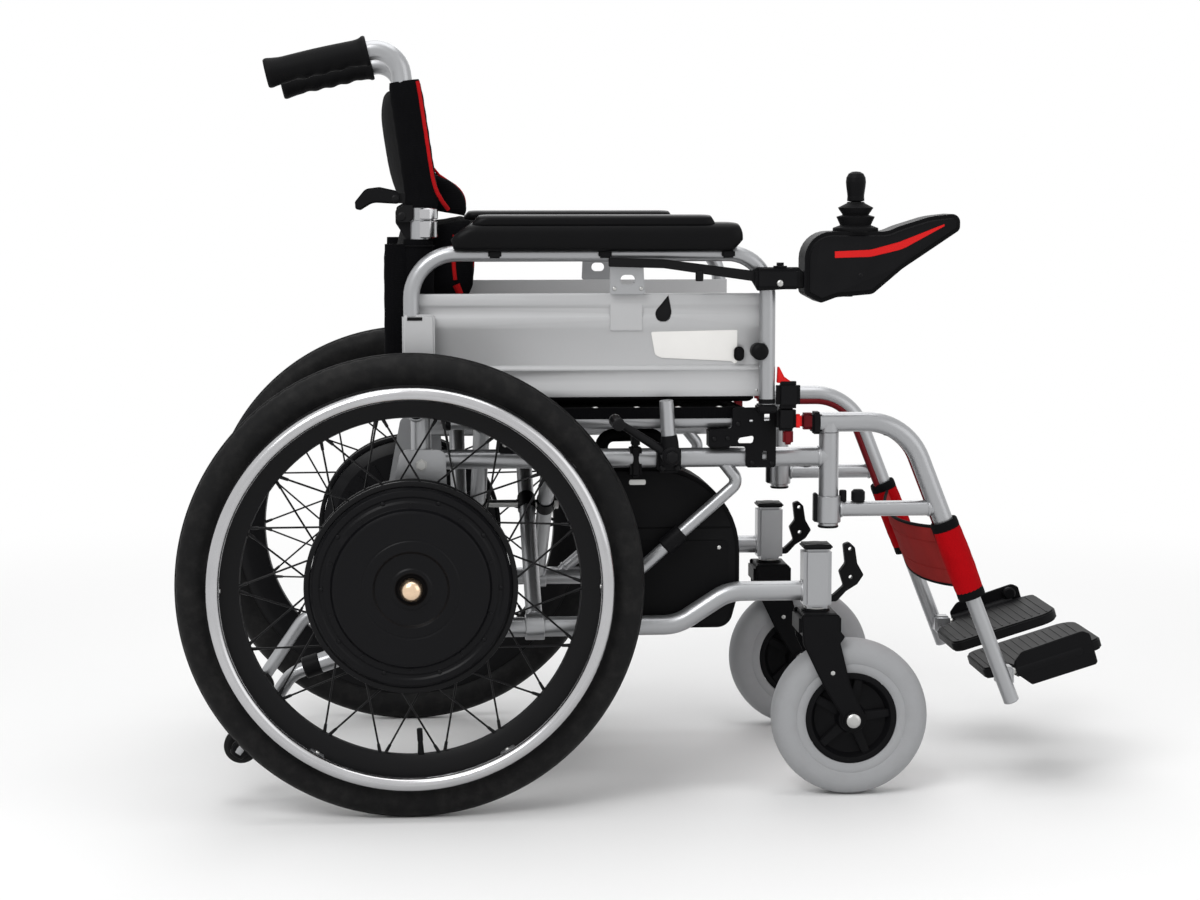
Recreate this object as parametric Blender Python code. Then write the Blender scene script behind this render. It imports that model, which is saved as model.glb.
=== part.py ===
"""Folding power wheelchair: twin side frames on a scissor cross, hub motor wheels and a joystick.

Metres, +X forward, +Y to the chair's left, +Z up, floor at z = 0. Every place is given from the point
on the floor under the rear axle, for the right hand side. The left hand side is its mirror image.
"""
import math

import bmesh
import bpy
from mathutils import Matrix, Vector

# Driving sizes, half widths measured from the chair's middle plane

TYRE_RADIUS = 0.286
FOOTPLATE_REACH = 0.8948
FRAME_HALF = 0.205
WHEEL_HALF = 0.285
ARM_HALF = 0.240
PAD_HALF = 0.2435
GRIP_HALF = 0.200
TUBE_R = 0.0125
ARM_TUBE_R = 0.010
RAIL_R = 0.011
GAP = 0.0003

LOWER_Z = 0.220
UPPER_Z = 0.433
RAIL_Z = 0.481
RAIL_REAR = 0.045
RAIL_FRONT = 0.420
CANE_X = 0.014
CANE_TOP = 0.7297
POST_X = 0.527
STEM_X = 0.512
CASTER_R = 0.100
CASTER_TRAIL = 0.044
FORK_HALF = 0.0335
HANGER_Z = 0.4765
STRUT_Z = 0.366
HANGER_BEND_X = 0.625
HANGER_END = (0.768, 0.113)
ARM_Z = 0.690
ARM_REAR_X = 0.003
ARM_FRONT_X = 0.4425
PANEL_LOW = 0.512
PANEL_HIGH = 0.640
PANEL_IN = 0.2192
PANEL_OUT = 0.2297
FOOT_TILT = math.radians(17)
CROSS_A_X = (0.065, 0.155)
CROSS_B_X = (0.090, 0.180)
SPOKES = 36
HANDRIM_R = 0.2385
HANDRIM_TUBE_R = 0.0085
HANDRIM_OUT = 0.031
HANDRIM_TABS = 6
LUMBAR_REACH = 0.058
WHEEL_FACETS = 32
HUB_FACETS = 20
CASTER_FACETS = 24

MIRROR = {"right": 1, "left": -1}
X_AXIS = Vector((1, 0, 0))
Y_AXIS = Vector((0, 1, 0))
Z_AXIS = Vector((0, 0, 1))
OUTWARD = -Y_AXIS

# Joint axes on the right hand side

CHAIR = Vector((0, 0, 0))
AXLE = Vector((0, -WHEEL_HALF, TYRE_RADIUS))
FOLD_PIVOT = Vector((0, -FRAME_HALF, LOWER_Z))
CROSS_PIVOT = Vector((0, 0, (LOWER_Z + RAIL_Z) / 2))
RAIL_PIVOT = Vector((0, FRAME_HALF, RAIL_Z))
STEM = Vector((STEM_X, -FRAME_HALF, 0.240))
CASTER_AXLE = Vector((STEM_X + CASTER_TRAIL, -FRAME_HALF, CASTER_R))
HANGER_PIVOT = Vector((POST_X, -FRAME_HALF, STRUT_Z))
ARM_PIVOT = Vector((0.008, -ARM_HALF, 0.497))
BACK_PIVOT = Vector((-0.008, -FRAME_HALF, 0.735))
LATCH_PIVOT = Vector((-0.016, -FRAME_HALF, 0.757))
BRAKE_PIVOT = Vector((0.322, -0.249, 0.440))
FOOT_PIVOT = Vector((0.776, -0.184, 0.150))
ROLLER_PIVOT = Vector((-0.215, -0.185, 0.070))
STICK_PIVOT = Vector((0.551, -0.243, 0.715))
ORIGIN_SHIFT = Vector(((TYRE_RADIUS - FOOTPLATE_REACH) / 2, 0, 0))


def clear_scene():
    for old in list(bpy.data.objects):
        bpy.data.objects.remove(old, do_unlink=True)


def material(name, colour, roughness, metallic=0.0):
    made = bpy.data.materials.new(name)
    made.use_nodes = True
    shader = made.node_tree.nodes["Principled BSDF"]
    shader.inputs["Base Color"].default_value = (*colour, 1)
    shader.inputs["Roughness"].default_value = roughness
    shader.inputs["Metallic"].default_value = metallic
    made.diffuse_color = (*colour, 1)
    return made


# Shapes


def at(x, half, z):
    """A place on the right hand side, half being its distance from the middle plane."""
    return Vector((x, -half, z))


def rounded(points, radius, steps=4, closed=False):
    """A path whose corners are arcs. radius is one number, or one for each point."""
    points = [Vector(p) for p in points]
    count = len(points)
    path = []
    for i, corner in enumerate(points):
        bend = radius[i] if isinstance(radius, (list, tuple)) else radius
        if bend == 0 or (not closed and i in (0, count - 1)):
            path.append(corner)
            continue
        back = (points[i - 1] - corner).normalized()
        ahead = (points[(i + 1) % count] - corner).normalized()
        half = back.angle(ahead) / 2
        centre = corner + (back + ahead).normalized() * bend / math.sin(half)
        first = corner + back * bend / math.tan(half) - centre
        last = corner + ahead * bend / math.tan(half) - centre
        path += [centre + bend * first.slerp(last, s / steps) for s in range(steps + 1)]
    return path


def outline(points, radius=0, steps=3):
    """A closed flat outline from (p, q) points, its corners rounded."""
    return rounded([(p, q, 0) for p, q in points], radius, steps, closed=True)


def faced_out(bm):
    bmesh.ops.recalc_face_normals(bm, faces=bm.faces)
    return bm


def bridge(bm, ring, following):
    count = len(ring)
    for k in range(count):
        j = (k + 1) % count
        bm.faces.new((ring[k], ring[j], following[j], following[k]))


def tube(path, radius, sides=8, across=Y_AXIS):
    """A round bar along a path that lies in the plane square to across. radius may change."""
    bm = bmesh.new()
    path = [Vector(p) for p in path]
    rings = []
    for i, point in enumerate(path):
        along = path[min(i + 1, len(path) - 1)] - path[max(i - 1, 0)]
        up = along.cross(across).normalized()
        size = radius[i] if isinstance(radius, (list, tuple)) else radius
        ring = []
        for k in range(sides):
            turn = 2 * math.pi * (k + 0.5) / sides
            ring.append(bm.verts.new(point + size * (math.cos(turn) * across + math.sin(turn) * up)))
        rings.append(ring)
    for ring, following in zip(rings, rings[1:]):
        bridge(bm, ring, following)
    bm.faces.new(rings[0])
    bm.faces.new(rings[-1])
    return faced_out(bm)


def turned(profile, centre, axis=OUTWARD, segments=24, start=-Z_AXIS):
    """A turned piece from (radius, distance along the axis) points.

    The profile is a closed loop, unless it begins and ends at radius 0.
    """
    bm = bmesh.new()
    centre = Vector(centre)
    axis = Vector(axis).normalized()
    first = (start - axis * start.dot(axis)).normalized()
    second = axis.cross(first)
    rings = []
    for radius, along in profile:
        middle = centre + axis * along
        if radius == 0:
            rings.append([bm.verts.new(middle)])
            continue
        ring = []
        for k in range(segments):
            turn = 2 * math.pi * k / segments
            ring.append(bm.verts.new(middle + radius * (math.cos(turn) * first + math.sin(turn) * second)))
        rings.append(ring)
    pairs = list(zip(rings, rings[1:]))
    if profile[0][0] != 0:
        pairs.append((rings[-1], rings[0]))
    for ring, following in pairs:
        if len(ring) > 1 and len(following) > 1:
            bridge(bm, ring, following)
            continue
        pole, rim = (ring[0], following) if len(ring) == 1 else (following[0], ring)
        for k in range(segments):
            bm.faces.new((pole, rim[k], rim[(k + 1) % segments]))
    return faced_out(bm)


def rod(start, end, radius, sides=12):
    start = Vector(start)
    run = Vector(end) - start
    guide = Z_AXIS if abs(run.normalized().z) < 0.9 else X_AXIS
    return turned([(0, 0), (radius, 0), (radius, run.length), (0, run.length)], start, run, sides, guide)


def headed_pin(start, run, radius, length, head_radius, head, sides=12):
    profile = [(0, 0), (radius, 0), (radius, length), (head_radius, length), (head_radius, length + head),
               (0, length + head)]
    return turned(profile, start, run, sides, Z_AXIS)


def prism(points, low, high, plane="xz"):
    """A flat outline given thickness. The third axis runs from low to high."""
    put = {
        "xz": lambda p, q, h: (p, h, q),
        "xy": lambda p, q, h: (p, q, h),
        "yz": lambda p, q, h: (h, p, q),
    }[plane]
    bm = bmesh.new()
    rings = [[bm.verts.new(put(point[0], point[1], h)) for point in points] for h in (low, high)]
    bridge(bm, *rings)
    bm.faces.new(rings[0])
    bm.faces.new(rings[1])
    return faced_out(bm)


def plate(points, inner, outer):
    """An upright plate between two half widths, its outline in x and z."""
    return prism(points, -outer, -inner)


def block(x, half, z):
    """A box from ranges of x, half width and z."""
    return prism([(x[0], z[0]), (x[1], z[0]), (x[1], z[1]), (x[0], z[1])], -half[1], -half[0])


def softened(bm, width, segments=2, sharper_than=35):
    """The same solid with its sharp edges rounded."""
    limit = math.radians(sharper_than)
    edges = [e for e in bm.edges if e.calc_face_angle(0) > limit]
    bmesh.ops.bevel(bm, geom=edges, offset=width, segments=segments, affect="EDGES", clamp_overlap=True)
    return bm


def swung(bm, angle, centre, axis="Y"):
    """The same solid turned about an axis through centre."""
    bmesh.ops.rotate(bm, cent=centre, matrix=Matrix.Rotation(angle, 3, axis), verts=bm.verts)
    return bm


def pillow(place, across_steps, along_steps, edge, crown, flat_back=False, power=4):
    """A padded sheet with rounded crowns.

    place(u, v, w) gives the point for u and v from -1 to 1 and w metres out of the sheet.
    edge is half the thickness at the seam, and crown what the middle adds to each side.
    """
    bm = bmesh.new()
    faces = []
    for side in (1, -1):
        grid = []
        for i in range(across_steps + 1):
            u = -math.cos(math.pi * i / across_steps)
            row = []
            for j in range(along_steps + 1):
                v = -math.cos(math.pi * j / along_steps)
                rise = crown * (1 - abs(u) ** power) * (1 - abs(v) ** power)
                if side == -1 and flat_back:
                    rise = 0
                row.append(bm.verts.new(place(u, v, side * (edge + rise))))
            grid.append(row)
        faces.append(grid)
    front, back = faces
    for grid in faces:
        for low, high in zip(grid, grid[1:]):
            for j in range(along_steps):
                bm.faces.new((low[j], low[j + 1], high[j + 1], high[j]))
    border = [(i, 0) for i in range(across_steps)]
    border += [(across_steps, j) for j in range(along_steps)]
    border += [(i, along_steps) for i in range(across_steps, 0, -1)]
    border += [(0, j) for j in range(along_steps, 0, -1)]
    bridge(bm, [front[i][j] for i, j in border], [back[i][j] for i, j in border])
    return faced_out(bm)


# Objects and their joints

LOOKS = {}
JOINTS = {}


def joint(name, place, parent=None):
    """An empty on a joint's axis, which the pieces of that body hang from."""
    empty = bpy.data.objects.new(f"{name}_joint", None)
    bpy.context.scene.collection.objects.link(empty)
    empty.empty_display_size = 0.03
    empty.location = place + ORIGIN_SHIFT
    if parent:
        empty.parent = JOINTS[parent][0]
        empty.location = place - JOINTS[parent][1]
    JOINTS[name] = (empty, place)


def mesh_object(name, bm, body, mirror):
    empty, place = JOINTS[body]
    bmesh.ops.scale(bm, vec=(1, mirror, 1), verts=bm.verts)
    bmesh.ops.translate(bm, vec=-place, verts=bm.verts)
    bmesh.ops.recalc_face_normals(bm, faces=bm.faces)
    mesh = bpy.data.meshes.new(name)
    bm.to_mesh(mesh)
    bm.free()
    mesh.shade_smooth()
    mesh.set_sharp_from_angle(angle=math.radians(32))
    obj = bpy.data.objects.new(name, mesh)
    bpy.context.scene.collection.objects.link(obj)
    obj.parent = empty
    return obj


def combine(obj, bm, body, mirror, operation):
    number = len(obj.modifiers)
    tool = mesh_object(f"{obj.name}_{operation.lower()}_{number}", bm, body, mirror)
    tool.hide_render = True
    tool.display_type = "WIRE"
    step = obj.modifiers.new(tool.name, "BOOLEAN")
    step.operation = operation
    step.solver = "EXACT"
    step.object = tool


def piece(name, look, body, base, adds=(), cuts=(), side=""):
    """One sub-part: a solid, what is welded to it and what is cut out of it."""
    mirror = MIRROR.get(side, 1)
    full_name = f"{name}_{side}" if side else name
    obj = mesh_object(full_name, base, body, mirror)
    obj.data.materials.append(LOOKS[look])
    for bm in adds:
        combine(obj, bm, body, mirror, "UNION")
    for bm in cuts:
        combine(obj, bm, body, mirror, "DIFFERENCE")
    return obj


# Frames


# The hooked lever that stands in front of each caster's housing
LOCK_LEVER = outline(
    [(0.526, 0.2480), (0.5380, 0.2480), (0.5500, 0.2610), (0.5645, 0.2700), (0.5725, 0.2819),
     (0.5642, 0.2965), (0.5610, 0.3170), (0.5540, 0.3237), (0.5462, 0.3210), (0.5490, 0.2965),
     (0.5413, 0.2863), (0.5470, 0.2680), (0.5340, 0.2560), (0.526, 0.2560)],
    [0, 0, 0.004, 0.004, 0.003, 0.004, 0.004, 0.004, 0.003, 0, 0.003, 0.003, 0.003, 0],
    2,
)


def side_frame(side):
    lower = rounded(
        [
            at(-0.2202, FRAME_HALF, 0.0624),
            at(-0.150, FRAME_HALF, 0.165),
            at(0.010, FRAME_HALF, LOWER_Z),
            at(0.335, FRAME_HALF, LOWER_Z),
            at(0.400, FRAME_HALF, 0.262),
            at(STEM_X, FRAME_HALF, 0.262),
        ],
        [0, 0.04, 0.08, 0.06, 0.06, 0],
        3,
    )
    pin = at(-0.215, FRAME_HALF, 0.070)
    arm_pin = at(ARM_PIVOT.x, FRAME_HALF, ARM_PIVOT.z)
    adds = [
        tube([at(CANE_X, FRAME_HALF, UPPER_Z), at(POST_X, FRAME_HALF, UPPER_Z)], TUBE_R - 0.0004),
        tube([at(POST_X, FRAME_HALF, 0.345), at(POST_X, FRAME_HALF, 0.4632)], TUBE_R - 0.0001),
        tube([at(CANE_X, FRAME_HALF, LOWER_Z), at(CANE_X, FRAME_HALF, CANE_TOP)], TUBE_R - 0.0002),
        tube(
            rounded(
                [at(0.390, FRAME_HALF, 0.431), at(0.413, FRAME_HALF, 0.402), at(0.2095, FRAME_HALF, 0.222)],
                [0, 0.012, 0],
            ),
            0.008,
            8,
        ),
        block((STEM_X - 0.018, STEM_X + 0.018), (FRAME_HALF - 0.018, FRAME_HALF + 0.018), (0.240, 0.318)),
        plate(
            outline(
                [(0.010, 0.700), (0.010, 0.7292), (-0.0005, 0.7292), (-0.0005, 0.7425),
                 (-0.0155, 0.7425), (-0.0155, 0.727), (0.002, 0.700)],
                [0, 0, 0, 0.005, 0.005, 0.005, 0],
            ),
            FRAME_HALF - 0.005,
            FRAME_HALF + 0.005,
        ),
        block((0.110, 0.140), (FRAME_HALF - 0.011, FRAME_HALF + 0.011), (0.440, RAIL_Z - RAIL_R - GAP)),
        headed_pin(arm_pin + OUTWARD * 0.0040, OUTWARD, 0.0058, 0.0413, 0.0095, 0.0035),
        headed_pin(pin + OUTWARD * 0.0060, -OUTWARD, 0.0045, 0.0365, 0.0092, 0.0032, 10),
        plate(LOCK_LEVER, FRAME_HALF - 0.006, FRAME_HALF + 0.006),
    ]
    if side == "right":
        adds.append(block((0.255, 0.312), (0.112, FRAME_HALF), (0.2085, 0.2118)))
    cuts = [
        rod(at(STEM_X, FRAME_HALF, 0.230), at(STEM_X, FRAME_HALF, 0.295), 0.0088),
        rod(at(BACK_PIVOT.x, 0.190, BACK_PIVOT.z), at(BACK_PIVOT.x, 0.220, BACK_PIVOT.z), 0.0044, 10),
    ]
    slim = [0.009] * 2 + [TUBE_R] * (len(lower) - 2)
    piece("side_frame", "silver", f"{side}_frame", tube(lower, slim), adds, cuts, side)


def axle_plate(side):
    face = FRAME_HALF + TUBE_R + GAP
    shape = outline(
        [(-0.030, 0.245), (0.036, 0.245), (0.048, 0.300), (0.044, 0.447), (-0.012, 0.447), (-0.034, 0.330)],
        0.010,
        2,
    )
    adds = [
        rod(at(0, face + 0.001, AXLE.z), at(0, 0.3160, AXLE.z), 0.008, 14),
        rod(at(0, face + 0.0017, AXLE.z), at(0, 0.2384, AXLE.z), 0.016, 14),
        rod(at(CANE_X, face + 0.0022, 0.428), at(CANE_X, face + 0.0095, 0.428), 0.0075, 6),
        rod(at(CANE_X, face + 0.0026, 0.262), at(CANE_X, face + 0.0095, 0.262), 0.0075, 6),
    ]
    cuts = [rod(at(0, face - 0.003, z), at(0, face + 0.02, z), 0.0085) for z in (0.325, 0.360)]
    piece("axle_plate", "silver", f"{side}_frame", plate(shape, face, face + 0.005), adds, cuts, side)


def seat_bracket(side):
    face = FRAME_HALF + TUBE_R + GAP
    shape = outline(
        [(0.402, 0.4965), (0.457, 0.4975), (0.457, 0.4215), (0.419, 0.4215), (0.419, 0.448),
         (0.372, 0.448), (0.372, 0.4685), (0.402, 0.471)],
        [0.004, 0.004, 0.004, 0.004, 0.004, 0.003, 0.003, 0.004],
        2,
    )
    adds = [
        block((0.428, 0.457), (face + 0.001, 0.2515), (0.484, 0.5022)),
        softened(block((0.4535, 0.481), (0.232, 0.248), (0.490, 0.530)), 0.004, 1),
        block((0.3725, 0.4015), (FRAME_HALF - 0.011, face + 0.002), (0.446, RAIL_Z - RAIL_R - GAP)),
    ]
    windows = [
        outline([(0.4235, 0.479), (0.428, 0.479), (0.428, 0.4815), (0.4235, 0.4815)]),
        outline([(0.407, 0.452), (0.428, 0.452), (0.430, 0.462), (0.411, 0.459)], 0.003, 2),
        outline([(0.440, 0.430), (0.446, 0.430), (0.446, 0.442), (0.440, 0.442)], 0.002, 1),
    ]
    cuts = [plate(window, face - 0.01, face + 0.04) for window in windows]
    slab = plate(shape, face, face + 0.006)
    piece("seat_bracket", "black_plastic", f"{side}_frame", slab, adds, cuts, side)


def rear_axle_nut(side):
    profile = [(0, 0.0095), (0.0085, 0.0095), (0.0085, 0), (0.0142, 0), (0.0142, 0.0085),
               (0.0122, 0.0140), (0.0062, 0.0176), (0, 0.0185)]
    nut = turned(profile, at(0, 0.3070, AXLE.z), OUTWARD, 14)
    piece("axle_nut", "brass", f"{side}_frame", nut, side=side)


def brake(side):
    x, z = BRAKE_PIVOT.x, BRAKE_PIVOT.z
    clamp = softened(block((x - 0.015, x + 0.015), (0.1915, 0.2330), (0.4165, 0.4495)), 0.003, 1)
    pin = headed_pin(at(x, 0.230, z), OUTWARD, 0.0042, 0.0335, 0.0075, 0.0035, 10)
    bore = rod(at(0.29, FRAME_HALF, UPPER_Z), at(0.35, FRAME_HALF, UPPER_Z), TUBE_R + GAP + 0.0003, 20)
    piece("brake_base", "black_plastic", f"{side}_frame", clamp, [pin], [bore], side)

    arm_half = -BRAKE_PIVOT.y
    shoe = at(0.2529, arm_half, 0.4841)
    handle = [at(x, arm_half, z), at(0.3185, arm_half, 0.470), at(0.316, arm_half, 0.5085)]
    adds = [
        tube(handle, [0.009, 0.0085, 0.0075]),
        tube([at(x, arm_half, z), shoe], 0.007),
        rod(at(shoe.x, 0.2425, shoe.z), at(shoe.x, 0.302, shoe.z), 0.008, 12),
    ]
    cuts = [rod(at(x, 0.22, z), at(x, 0.28, z), 0.0047, 12)]
    eye = rod(at(x, 0.2340, z), at(x, 0.2628, z), 0.011, 14)
    piece("brake_lever", "silver", f"{side}_brake", eye, adds, cuts, side)


# Wheels


def rear_wheel(side):
    body = f"{side}_wheel"
    tyre = [(0.2482, -0.0115), (0.263, -0.0180), (0.278, -0.0145), (TYRE_RADIUS, -0.004),
            (TYRE_RADIUS, 0.004), (0.278, 0.0145), (0.263, 0.0180), (0.2482, 0.0115)]
    piece("rear_tyre", "tyre_black", body, turned(tyre, AXLE, OUTWARD, WHEEL_FACETS), side=side)

    rim = [(0.2478, -0.0112), (0.2478, 0.0112), (0.236, 0.0128), (0.207, 0.0065), (0.207, -0.0065),
           (0.236, -0.0128)]
    flange = [(0.1239, -0.024), (0.1305, -0.024), (0.1305, 0.008), (0.1239, 0.008)]
    adds = [turned(flange, AXLE, OUTWARD, HUB_FACETS), spokes(), handrim_tabs(), valve()]
    piece("rear_rim", "black_metal", body, turned(rim, AXLE, OUTWARD, WHEEL_FACETS), adds, side=side)

    motor = [(0.0088, -0.046), (0.030, -0.046), (0.036, -0.040), (0.1235, -0.030), (0.1235, 0.011),
             (0.118, 0.0150), (0.098, 0.0155), (0.094, 0.0215), (0.047, 0.0245), (0.044, 0.0215),
             (0.020, 0.0215), (0.0088, 0.018)]
    piece("hub_motor", "black_metal", body, turned(motor, AXLE, OUTWARD, HUB_FACETS), side=side)

    ring = []
    for k in range(6):
        turn = 2 * math.pi * k / 6
        across, along = HANDRIM_TUBE_R * math.cos(turn), HANDRIM_TUBE_R * math.sin(turn)
        ring.append((HANDRIM_R + across, HANDRIM_OUT + along))
    piece("handrim", "silver", body, turned(ring, AXLE, OUTWARD, WHEEL_FACETS), side=side)


def on_wheel(radius, angle, out):
    """A place on the wheel by its radius, its angle from straight down and its distance outward."""
    return AXLE + Vector((radius * math.sin(angle), -out, -radius * math.cos(angle)))


def spokes():
    """Crossed spokes in one mesh. Neighbours leave opposite hub flanges and lean opposite ways."""
    joined = bmesh.new()
    lean = math.radians(14)
    for i in range(SPOKES):
        angle = 2 * math.pi * (i + 0.5) / SPOKES
        way, flange, seat = (1, 0.004, 0.003) if i % 2 else (-1, -0.020, -0.003)
        run = [on_wheel(0.1285, angle, flange), on_wheel(0.2085, angle + way * lean, seat)]
        add_to(joined, tube(run, 0.0014, 3))
    return joined


def handrim_tabs():
    joined = bmesh.new()
    reach = (WHEEL_HALF + 0.006, WHEEL_HALF + 0.0222)
    height = (AXLE.z + 0.230, AXLE.z + 0.2435)
    for k in range(HANDRIM_TABS):
        tab = block((-0.010, 0.010), reach, height)
        add_to(joined, swung(tab, 2 * math.pi * (k + 0.5) / HANDRIM_TABS, AXLE))
    return joined


def valve():
    return rod(on_wheel(0.209, 0.05, 0), on_wheel(0.176, 0.05, 0), 0.0035, 8)


def add_to(joined, bm):
    mesh = bpy.data.meshes.new("part")
    bm.to_mesh(mesh)
    bm.free()
    joined.from_mesh(mesh)
    bpy.data.meshes.remove(mesh)


def caster(side):
    fork_body, wheel_body = f"{side}_caster_fork", f"{side}_caster_wheel"
    x, z = CASTER_AXLE.x, CASTER_AXLE.z
    arm_shape = outline(
        [(0.486, 0.238), (0.541, 0.238), (0.558, 0.215), (x + 0.0185, z - 0.0165), (x - 0.0185, z - 0.0165),
         (0.492, 0.165), (0.486, 0.200)],
        [0, 0.008, 0.02, 0.015, 0.015, 0.02, 0.02],
        3,
    )
    adds = []
    for outer, inner in ((FORK_HALF, FORK_HALF - 0.006), (-FORK_HALF + 0.006, -FORK_HALF)):
        adds.append(plate(arm_shape, FRAME_HALF + inner, FRAME_HALF + outer))
    adds += [
        rod(at(STEM_X, FRAME_HALF, 0.2300), at(STEM_X, FRAME_HALF, 0.2397), 0.017, 16),
        rod(at(STEM_X, FRAME_HALF, 0.2300), at(STEM_X, FRAME_HALF, 0.2930), 0.008, 12),
        rod(at(x, FRAME_HALF - 0.0385, z), at(x, FRAME_HALF + 0.0385, z), 0.006, 12),
    ]
    for low, high in ((-0.0388, -0.0325), (0.0325, 0.0388)):
        adds.append(rod(at(x, FRAME_HALF + low, z), at(x, FRAME_HALF + high, z), 0.010, 12))
    crown_half = (FRAME_HALF - 0.033, FRAME_HALF + 0.033)
    crown = softened(block((0.4865, 0.5405), crown_half, (0.2065, 0.2375)), 0.004, 1)
    piece("caster_fork", "black_plastic", fork_body, crown, adds, (), side)

    tyre = [(0.0585, -0.020), (0.083, -0.0245), (0.095, -0.019), (CASTER_R, -0.008), (CASTER_R, 0.008),
            (0.095, 0.019), (0.083, 0.0245), (0.0585, 0.020)]
    tyre_solid = turned(tyre, CASTER_AXLE, OUTWARD, CASTER_FACETS)
    piece("caster_tyre", "tyre_grey", wheel_body, tyre_solid, side=side)
    hub = [(0.0066, -0.026), (0.017, -0.026), (0.020, -0.012), (0.046, -0.012), (0.051, -0.019),
           (0.058, -0.019), (0.058, 0.019), (0.051, 0.019), (0.046, 0.012), (0.020, 0.012),
           (0.017, 0.026), (0.0066, 0.026)]
    piece("caster_hub", "black_plastic", wheel_body, turned(hub, CASTER_AXLE, OUTWARD, 16), side=side)


def anti_tip_roller(side):
    profile = [(0.0052, -0.009), (0.018, -0.009), (0.022, -0.005), (0.022, 0.005), (0.018, 0.009),
               (0.0052, 0.009)]
    roller = turned(profile, ROLLER_PIVOT, OUTWARD, 12)
    piece("anti_tip_roller", "tyre_black", f"{side}_anti_tip", roller, side=side)


# Leg rests


def down_tube(z):
    """The middle of the hanger's down tube at height z."""
    lean = (HANGER_END[0] - HANGER_BEND_X) / (HANGER_Z - HANGER_END[1])
    return at(HANGER_BEND_X + (HANGER_Z - z) * lean, FRAME_HALF, z)


def hanger(side):
    body = f"{side}_hanger"
    bend = rounded(
        [at(0.519, FRAME_HALF, HANGER_Z), at(HANGER_BEND_X, FRAME_HALF, HANGER_Z), down_tube(0.310)],
        [0, 0.075, 0],
        5,
    )
    path = bend + [down_tube(0.306), down_tube(HANGER_END[1])]
    sizes = [TUBE_R] * len(bend) + [0.010, 0.010]
    collar = [(0.0133, -0.016), (0.0185, -0.016), (0.0185, 0.016), (0.0133, 0.016)]
    tilt = Vector((math.cos(FOOT_TILT), 0, math.sin(FOOT_TILT)))
    release = block((0.494, 0.520), (FRAME_HALF - 0.008, FRAME_HALF + 0.008), (0.4690, 0.4880))
    adds = [
        rod(at(POST_X, FRAME_HALF, 0.4636), at(POST_X, FRAME_HALF, 0.4915), 0.0145, 14),
        turned(collar, HANGER_PIVOT, Z_AXIS, 16, X_AXIS),
        tube([at(POST_X + 0.015, FRAME_HALF, STRUT_Z), down_tube(STRUT_Z)], 0.009),
        softened(release, 0.003, 1),
        block((0.750, 0.772), (0.176, 0.200), (0.134, 0.158)),
        rod(FOOT_PIVOT - tilt * 0.012, FOOT_PIVOT + tilt * 0.080, 0.004, 8),
    ]
    piece("hanger", "silver", body, tube(path, sizes), adds, (), side)

    start = down_tube(0.350)
    run = down_tube(0.250) - start
    sleeve = [(0.0133, 0), (0.0165, 0), (0.0178, 0.005), (0.0178, 0.099), (0.0165, 0.104), (0.0133, 0.104)]
    piece("leg_sleeve", "red", body, turned(sleeve, start, run, 16, X_AXIS), side=side)


def footplate(side):
    """A moulded plate with a raised outer wall and a hinge barrel, made level and then tilted."""
    x, y, z = FOOT_PIVOT
    deck = outline(
        [(x - 0.032, y + 0.040), (x - 0.032, y + 0.149), (x + 0.122, y + 0.149), (x + 0.122, y + 0.012),
         (x + 0.094, y + 0.002), (x, y + 0.002), (x, y + 0.022)],
        [0.010, 0.016, 0.028, 0.012, 0, 0, 0.006],
        3,
    )
    wall = outline(
        [(x + 0.003, z + 0.0013), (x + 0.0985, z + 0.0013), (x + 0.106, z + 0.030), (x + 0.094, z + 0.050),
         (x + 0.014, z + 0.046), (x, z + 0.030)],
        [0, 0, 0.010, 0.012, 0.010, 0.010],
        2,
    )
    base = prism(deck, z - 0.0072, z + 0.0058, "xy")
    adds = [
        rod((x + 0.001, y, z), (x + 0.0915, y, z), 0.0088, 12),
        prism(wall, y - 0.0074, y - 0.0026),
        rod((x + 0.0965, y - 0.0062, z + 0.034), (x + 0.0965, y + 0.016, z + 0.034), 0.0085, 10),
    ]
    cuts = [rod((x - 0.005, y, z), (x + 0.086, y, z), 0.0047, 12)]
    for bm in [base] + adds + cuts:
        swung(bm, -FOOT_TILT, FOOT_PIVOT)
    piece("footplate", "black_plastic", f"{side}_footplate", base, adds, cuts, side)


def calf_strap():
    """A flat web from sleeve to sleeve that bows back behind the calves."""
    middle = down_tube(0.300)
    run = (down_tube(0.250) - down_tube(0.350)).normalized()
    out = Vector((run.z, 0, -run.x))
    half = FRAME_HALF - 0.0178 - 0.001

    def place(u, v, w):
        bow = 0.030 * (1 - u * u)
        point = middle + run * 0.043 * v + out * (w + bow)
        return Vector((point.x, half * u, point.z))

    piece("calf_strap", "red", "right_hanger", pillow(place, 12, 3, 0.0014, 0.0004))


# Armrests and joystick


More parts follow.
